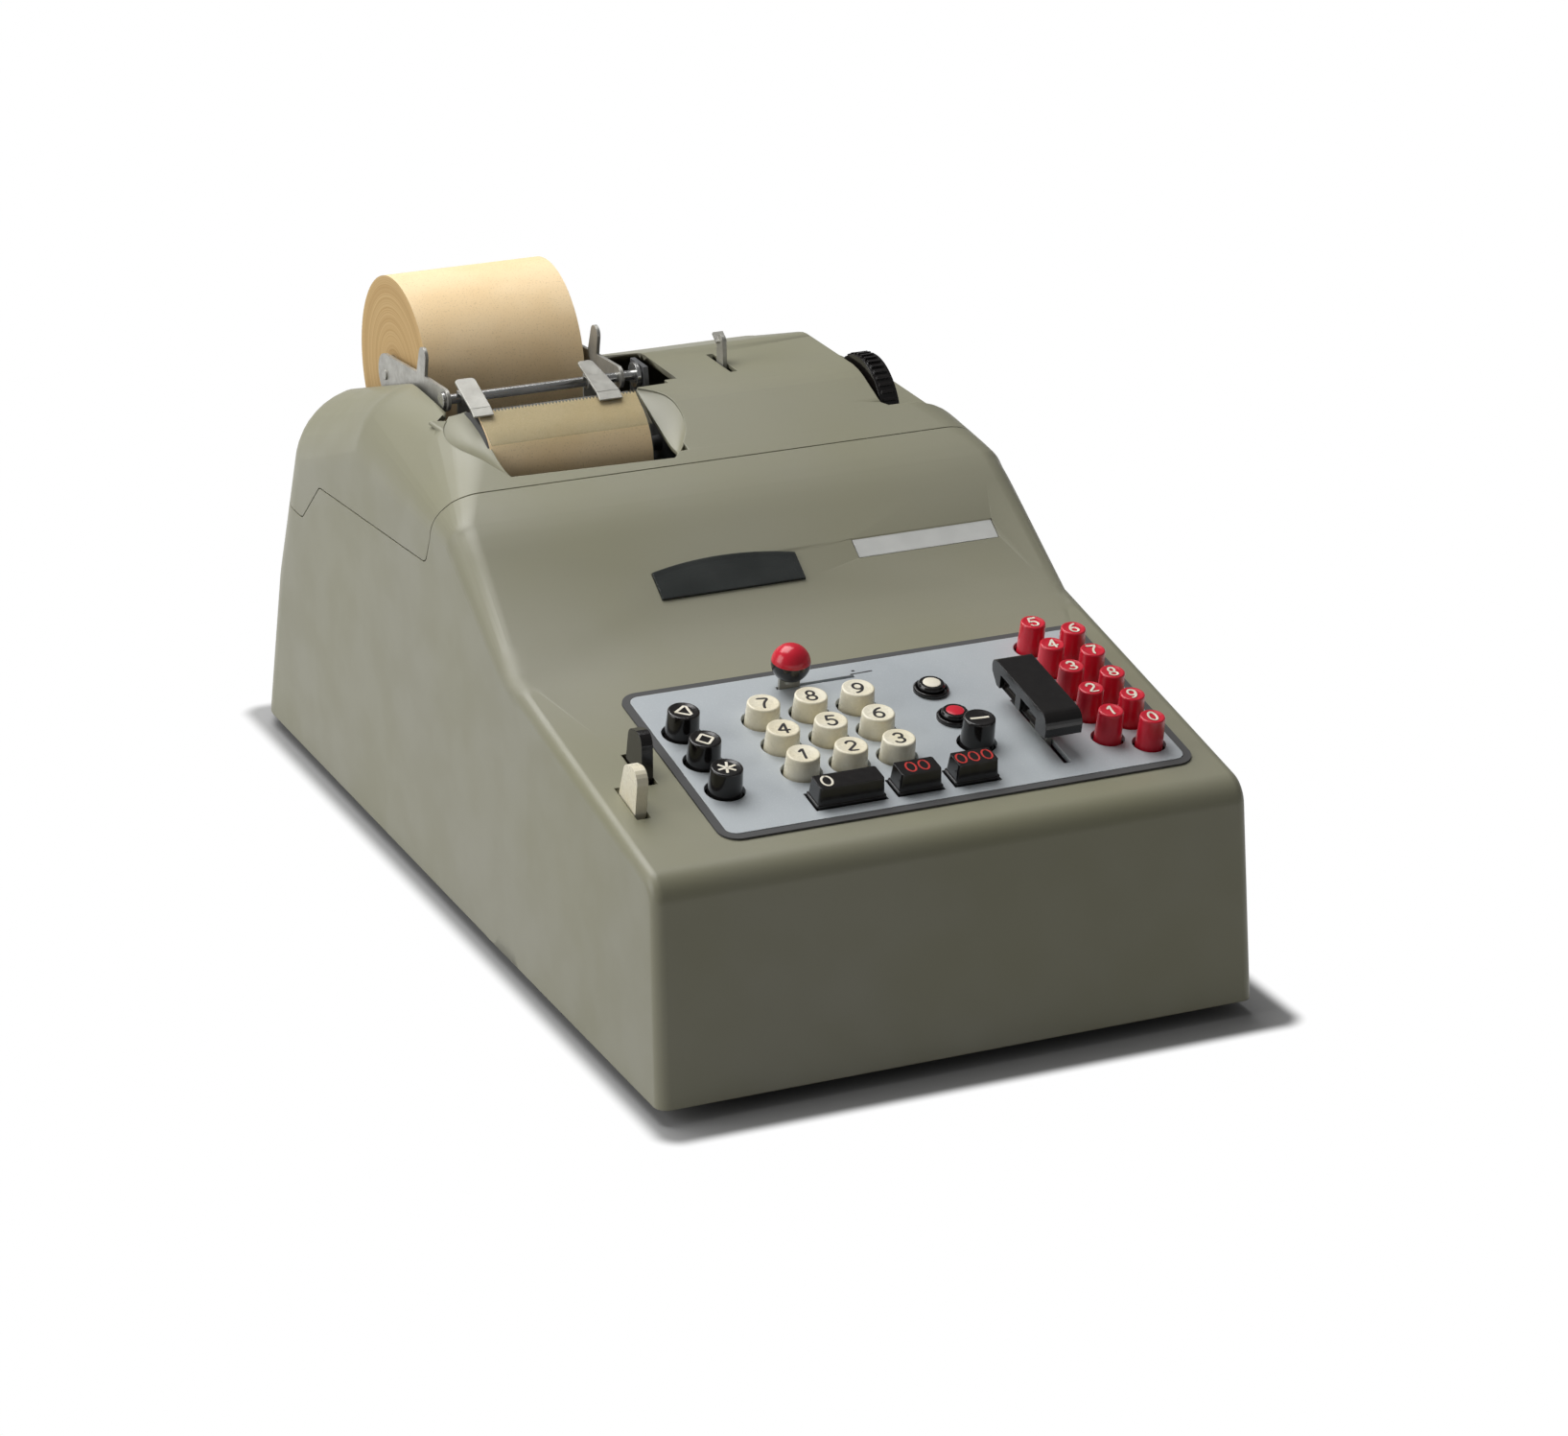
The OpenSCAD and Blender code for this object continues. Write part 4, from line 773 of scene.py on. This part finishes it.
# ---------- paper and bracket ----------
@dataclass
class PaperPath:
    """Tear shield, paper at the platen, and the bracket with its two fingers. Millimetres."""

    platen: Pair = (268.0, 153.0)
    paper_r: float = 22.0
    paper_t: float = 0.3
    play: float = 0.15
    lean: float = math.radians(31.0)
    top: float = 9.5
    drop: float = 8.8
    shield_t: float = 0.8
    tooth: float = 1.4
    tooth_depth: float = 1.2
    left: float = -84.1
    right: float = -17.6
    wrap_end: float = 285.0
    rod: Pair = (289.0, 175.0)
    ring_r: float = 3.3
    link: tuple = ((265.2, 177.6), (266.4, 178.3), (289.0, 178.3), (289.0, 177.5), (266.2, 177.5))
    ring_x: Pair = (0.8, 5.8)
    link_x: Pair = (-0.5, 4.5)
    leg_y: Pair = (2.2, 3.2)
    leg_foot: float = 149.0
    shaft_r: float = 1.6
    shaft_y: float = 2.6
    shaft_x: Pair = (-93.4, -6.1)
    finger_x: Pair = (-82.4, -29.2)
    finger_t: float = 0.9
    finger_corner: float = 1.9
    foot_reach: float = 4.2
    foot_below: float = 4.1

    def on_shield(self, points: np.ndarray) -> np.ndarray:
        """Carries points (x, up the shield, outwards) to the part frame, in metres."""
        out = self.paper_r + self.paper_t + self.play + points[:, 2]
        y = self.platen[0] + points[:, 1] * math.cos(self.lean) - out * math.sin(self.lean)
        z = self.platen[1] + points[:, 1] * math.sin(self.lean) + out * math.cos(self.lean)
        return to_part(np.stack([points[:, 0], y, z], axis=1))

    def toothed(
        self, name: str, low: float, high: float, span: Pair, out: Pair, finish: Finish, slot: str
    ) -> Object:
        """A flat sheet in the shield's plane whose upper edge is a row of even teeth."""
        count = 2 * int((span[1] - span[0]) / self.tooth) + 1
        x = np.linspace(*span, count)
        edge = np.where(np.arange(count) % 2, high - self.tooth_depth, high)
        foot = np.full(count, low)
        corners = ((foot, out[0]), (edge, out[0]), (edge, out[1]), (foot, out[1]))
        rings = np.stack([np.column_stack([x, up, np.full(count, n)]) for up, n in corners], axis=1)
        return new_piece(name, self.on_shield(rings.reshape(-1, 3)), bar_faces(count), finish, "machine", slot)

    def strip(self) -> None:
        """Paper round the platen's front: a thin ring sector, then a flat toothed end under the shield."""
        angle = np.radians(np.linspace(90 + math.degrees(self.lean), self.wrap_end, 60))
        rings = []
        for radius, x in ((0, self.left), (self.paper_t, self.left), (self.paper_t, self.right), (0, self.right)):
            r = self.paper_r + radius
            y, z = self.platen[0] + r * np.cos(angle), self.platen[1] + r * np.sin(angle)
            rings.append(np.stack([np.full(len(angle), x), y, z], axis=1))
        points = to_part(np.stack(rings, axis=1).reshape(-1, 3))
        wrap = new_piece("paper_wrap", points, bar_faces(len(angle)), BUFF_PAPER, "machine", "buff_paper")
        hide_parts("paper_strip")
        span, out = (self.left, self.right), (-self.play - self.paper_t, -self.play)
        self.toothed("paper_end", -0.1, self.top - 0.2, span, out, BUFF_PAPER, "buff_paper")

    def shield(self) -> None:
        """Clear tear shield laid against the platen."""
        span = (self.left + 0.3, self.right + 0.7)
        piece = self.toothed("tear_shield", -self.drop, self.top, span, (0.0, self.shield_t), MARK_WHITE, "zinc_steel")
        piece.data.materials.clear()
        piece.data.materials.append(clear_material("clear_tear_shield", "cdc3ab", 0.12, 0.92))
        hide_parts("tear_bar")

    def finger(self, name: str, middle: float, foot: float, tip: float, length: float, rise: float) -> None:
        """A thumb plate: foot on the shield, then a straight tongue with rounded corners, bent flatter."""
        t = np.linspace(0, 0.5 * math.pi, 6)
        corner = self.finger_corner
        right = np.column_stack([tip / 2 - corner + corner * np.cos(t), length - corner + corner * np.sin(t)])
        flat = np.concatenate([[[-foot / 2, 0.0]], [[foot / 2, 0.0]], right, (right * (-1, 1))[::-1]])
        start = self.on_shield(np.array([[0.0, self.top, self.shield_t]]))[0]
        cos, sin = math.cos(rise), math.sin(rise)
        rings = []
        for high in (0.0, self.finger_t):
            y = start[1] + (flat[:, 1] * cos - high * sin) * MM
            z = start[2] + (flat[:, 1] * sin + high * cos) * MM
            rings.append(np.stack([(flat[:, 0] + middle) * MM, y, z], axis=1))
        points, faces = np.concatenate(rings), plate_faces(len(flat))
        soften(new_piece(name, points, faces, ZINC_STEEL, "machine", "zinc_steel"), 0.2)
        box = np.array([[x, v, n] for n in (0, 1) for x, v in ((-1, 0), (1, 0), (1, 1), (-1, 1))], dtype=float)
        box = box * (foot / 2, self.foot_reach, self.finger_t) + (middle, self.top - self.foot_below, self.shield_t)
        soften(new_piece(name + "_foot", self.on_shield(box), BOX_FACES, ZINC_STEEL, "machine", "zinc_steel"), 0.2)

    def bracket(self) -> None:
        """Rings round the rod, thin plates to the fingers, legs behind and the cross shaft."""
        y, z = self.rod
        turn = np.radians(np.arange(0, 360, 15))
        circle = np.column_stack([np.cos(turn), np.sin(turn)])
        near, far = y + self.leg_y[0], y + self.leg_y[1]
        leg = [(near, self.leg_foot), (far, self.leg_foot), (far, z), (near, z)]
        for name, middle in zip(("left", "right"), self.finger_x):
            low, high = middle + self.ring_x[0], middle + self.ring_x[1]
            zinc_plate(f"rod_ring_{name}", circle * self.ring_r + self.rod, low, high, 0.25)
            zinc_plate(f"link_{name}", self.link, middle + self.link_x[0], middle + self.link_x[1])
            zinc_plate(f"leg_{name}", leg, low, high, 0.2)
        piece = zinc_plate("cross_shaft", circle * self.shaft_r + (y + self.shaft_y, self.leg_foot), *self.shaft_x)
        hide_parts("bail_fingers")

    def build(self) -> None:
        """Builds the shield, the paper and the bracket."""
        self.shield()
        self.strip()
        self.finger("finger_left", self.finger_x[0], 8.4, 8.4, 19.0, math.radians(20.5))
        self.finger("finger_right", self.finger_x[1], 9.7, 6.5, 25.0, math.radians(12))
        self.bracket()


# ---------- keyboard ----------
@dataclass
class Keyboard:
    """Numerals, symbols, dots and painted marks on the keys and the plate, in millimetres on the deck."""

    key_x: float = -38.3
    key_v: float = 60.1
    pitch_x: float = 19.15
    pitch_v: float = 18.15
    key_h: float = 8.0
    fn_x: float = -70.3
    fn_v: float = 56.4
    fn_pitch: float = 20.1
    fn_h: float = 10.0
    minus_x: float = 32.4
    bar_v: float = 40.0
    bar_h: float = 8.2
    mult_x: float = 81.2
    mult_v: float = 41.2
    mult_pitch_x: float = 13.0
    mult_pitch_v: float = 16.5
    mult_h: float = 12.0
    dot_h: float = 3.6
    dish: float = 0.2
    rise: float = 1.0
    sunk: float = 0.34
    mult_sunk: float = 0.31

    def digits(self) -> None:
        """Black numerals on the nine ivory keys."""
        for i in range(9):
            x = self.key_x + (i % 3) * self.pitch_x
            v = self.key_v + (i // 3) * self.pitch_v
            n = self.rise + self.key_h - self.sunk
            mark = Mark(str(i + 1), x, v, n, 6.3, 0.98, 1.05, -9, self.dish)
            place_marks(f"numeral_{i + 1}", [mark], MARK_BLACK, f"key_{i + 1}", "black_plastic")

    def functions(self) -> None:
        """White symbols on the black keys at the left and the slanted bar on the minus key."""
        top = self.rise + self.fn_h - self.sunk
        rows = (("key_star", "star", 7.2), ("key_square", "diamond", 7.0), ("key_triangle", "wedge", 6.6))
        for i, (body, glyph, height) in enumerate(rows):
            mark = Mark(glyph, self.fn_x, self.fn_v + i * self.fn_pitch, top, height, 1.0, 1.05, 0.0, self.dish)
            place_marks(f"symbol_{glyph}", [mark], MARK_WHITE, body, "ivory_plastic")
        mark = Mark("dash", self.minus_x, self.key_v, top + 1, 6.9, 1.0, 1.15, -5, self.dish)
        place_marks("symbol_minus", [mark], MARK_WHITE, "key_minus", "ivory_plastic")

    def zeros(self) -> None:
        """White 0 on the long bar, red 00 and 000 on the two shorter ones."""
        top = self.rise + self.bar_h
        mark = Mark("0", -38.0, self.bar_v, top, 6.2, 1.1, 0.85, -8)
        place_marks("numeral_0", [mark], MARK_WHITE, "key_0", "ivory_plastic")
        for body, middle, count in (("key_00", -2.0, 2), ("key_000", 20.8, 3)):
            marks = [
                Mark("0", middle + (i - (count - 1) / 2) * 5.2, self.bar_v, top, 6.0, 1.05, 0.75, -6)
                for i in range(count)
            ]
            place_marks(f"numeral_{'0' * count}", marks, MARK_RED, body, "red_plastic")

    def multipliers(self) -> None:
        """White numerals on the ten red keys."""
        for i in range(10):
            column, row = (1, 0) if i == 0 else (0, i - 0.5) if i < 6 else (1, 10 - i)
            x = self.mult_x + column * self.mult_pitch_x
            v = self.mult_v + row * self.mult_pitch_v
            n = self.rise + self.mult_h - self.mult_sunk
            mark = Mark(str(i), x, v, n, 5.4, 0.95, 0.9, -4, 1.2)
            place_marks(f"multiplier_{i}", [mark], MARK_WHITE, f"mult_{i}", "ivory_plastic")

    def dots(self) -> None:
        """White and red discs let into the two round buttons, and the painted marks beside the slot."""
        top = self.rise + self.dot_h + 0.03
        x = self.minus_x - 0.9
        disc("dot_white", x, self.key_v + 38.3, top, 3.4, 0.35, MARK_WHITE, "button_white", "ivory_plastic")
        disc("dot_red", x, self.key_v + 17.7, top, 3.4, 0.35, RED_PLASTIC, "button_red", "red_plastic")
        marks = [
            Mark("dash", 11.5, 117.6, self.rise + 0.02, 8.7, 1.0, 0.6, 2),
            Mark("dash", 9.0, 119.6, self.rise + 0.02, 0.35, 1.0, 1.0),
        ]
        place_marks("slot_marks", marks, MARK_BLACK, "machine", "black_plastic")

    def build(self) -> None:
        """Builds every mark of the keyboard."""
        self.digits()
        self.functions()
        self.zeros()
        self.multipliers()
        self.dots()


# ---------- finishes for single nodes ----------
DECK_NORMAL = (0.0, -math.sin(DECK_PITCH), math.cos(DECK_PITCH))


def split_finish(name: str, low: Finish, high: Finish, level: float) -> Material:
    """A material that is one finish below a plane along the deck and another above it.

    Its level is the plane's distance from the origin along the deck's normal, in metres.
    """
    made, tree = blank_material(name)
    share = maths(tree, "GREATER_THAN", vectors(tree, "DOT_PRODUCT", object_place(tree), DECK_NORMAL), level)
    shaders = []
    for finish in (low, high):
        shader = add(tree, "BsdfPrincipled")
        finish.dress(tree, shader)
        shaders.append(shader.outputs[0])
    mixed = add(tree, "MixShader", {0: share, 1: shaders[0], 2: shaders[1]}).outputs[0]
    add(tree, "OutputMaterial", {"Surface": mixed})
    return made


def on_deck_level(v: float, n: float) -> float:
    """Distance from the origin, along the deck's normal, of a point n millimetres above the deck."""
    point = deck_points(np.array([[0.0, v, n]]))[0]
    return float(-point[1] * math.sin(DECK_PITCH) + point[2] * math.cos(DECK_PITCH))


def clear_material(name: str, tint: str, rough: float, through: float) -> Material:
    """Clear moulded plastic of a tint and a roughness, with a share of straight see-through."""
    made, tree = blank_material(name)
    wave = band(tree, noise(tree, object_place(tree), 20.0, 2.0), 0.3, 0.7, 0.0, 0.08)
    colour = mix_colour(tree, wave, linear(tint), linear("8a8d8b"))
    rounded = add(tree, "Bevel", {"Radius": 0.0006}, samples=4).outputs[0]
    body = add(tree, "BsdfPrincipled", {"Base Color": colour, "Roughness": rough, "IOR": 1.49, "Normal": rounded})
    clear = add(tree, "BsdfTransparent", {"Color": (0.9, 0.92, 0.91, 1.0)}).outputs[0]
    facing = add(tree, "LayerWeight", {"Blend": 0.35}).outputs["Facing"]
    share = band(tree, facing, 0.2, 0.9, through, through * 0.35)
    mixed = add(tree, "MixShader", {0: share, 1: body.outputs[0], 2: clear}).outputs[0]
    add(tree, "OutputMaterial", {"Surface": mixed})
    return made


def layered_paper(name: str, middle: Pair) -> Material:
    """Paper wound on a roll: its ends show the layers as fine rings round the axis, whose y and z are middle."""
    made, tree, shader = principled_material(name)
    moved = vectors(tree, "ADD", object_place(tree), (0.0, -middle[0], -middle[1]))
    radius = vectors(tree, "LENGTH", vectors(tree, "MULTIPLY", moved, (0.0, 1.0, 1.0)))
    rings = add(tree, "CombineXYZ", {"X": radius}).outputs[0]
    # Layers of paper are 0.07 mm thick, too fine to show, so the rings stand for bundles of them
    fine, broad = noise(tree, rings, 0.9, 3.0, 0.7), noise(tree, rings, 6.0, 2.0)
    sideways = add(tree, "SeparateXYZ", {0: add(tree, "NewGeometry").outputs["Normal"]}).outputs[0]
    end = band(tree, maths(tree, "ABSOLUTE", sideways), 0.6, 0.8, 0.0, 1.0)
    wound = mix_colour(tree, band(tree, fine, 0.35, 0.65, 0.0, 1.0), linear("c09c66"), linear("d8bb88"))
    wound = mix_colour(tree, band(tree, broad, 0.35, 0.65, 0.0, 0.35), wound, linear("b08a56"))
    tree.links.new(mix_colour(tree, end, BUFF_PAPER.tint(tree), wound), shader.inputs["Base Color"])
    shader.inputs["Roughness"].default_value = 0.85
    bump = {"Height": maths(tree, "MULTIPLY", fine, end), "Distance": 0.00004, "Strength": 1.0}
    tree.links.new(add(tree, "Bump", bump).outputs[0], shader.inputs["Normal"])
    return made


def dress_nodes() -> None:
    """Gives every CAD node the finish that its material slot is named for, or one of its own."""
    # The ball is red above its middle; on the plate, the collars that stand over its face are black
    own = {
        "selector_ball": split_finish("two_tone_ball", BLACK_PLASTIC, RED_PLASTIC, on_deck_level(116.0, 12.4)),
        "keyboard_plate": split_finish("plate_with_collars", SATIN_PLATE, BLACK_PLASTIC, on_deck_level(80.0, 1.06)),
        "name_plate": BARE_SILVER.material(),
        "window_lens": clear_material("smoked_clear_lens", "3a3d3c", 0.08, 0.35),
        "paper_roll": layered_paper("wound_paper", (0.356 + FRONT_Y, 0.166 + LOWER_Z)),
    }
    for name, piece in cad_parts.items():
        for place in piece.material_slots:
            slot = place.material.name.split(".")[0] if place.material else ""
            finish = FINISHES.get(slot)
            if name in own:
                place.material = own[name]
            elif finish is None:
                LOG.warning("%s has no finish for slot %r", name, slot)
            else:
                place.material = finish.material()
        LOG.info("dressed %s", name)


def main() -> None:
    """Builds the studio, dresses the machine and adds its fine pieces."""
    logging.basicConfig(level=logging.INFO, format="%(name)s: %(message)s")
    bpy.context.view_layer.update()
    Studio().build()
    dress_nodes()
    Shells().build()
    PaperPath().build()
    Keyboard().build()


if __name__ == "__main__":
    main()
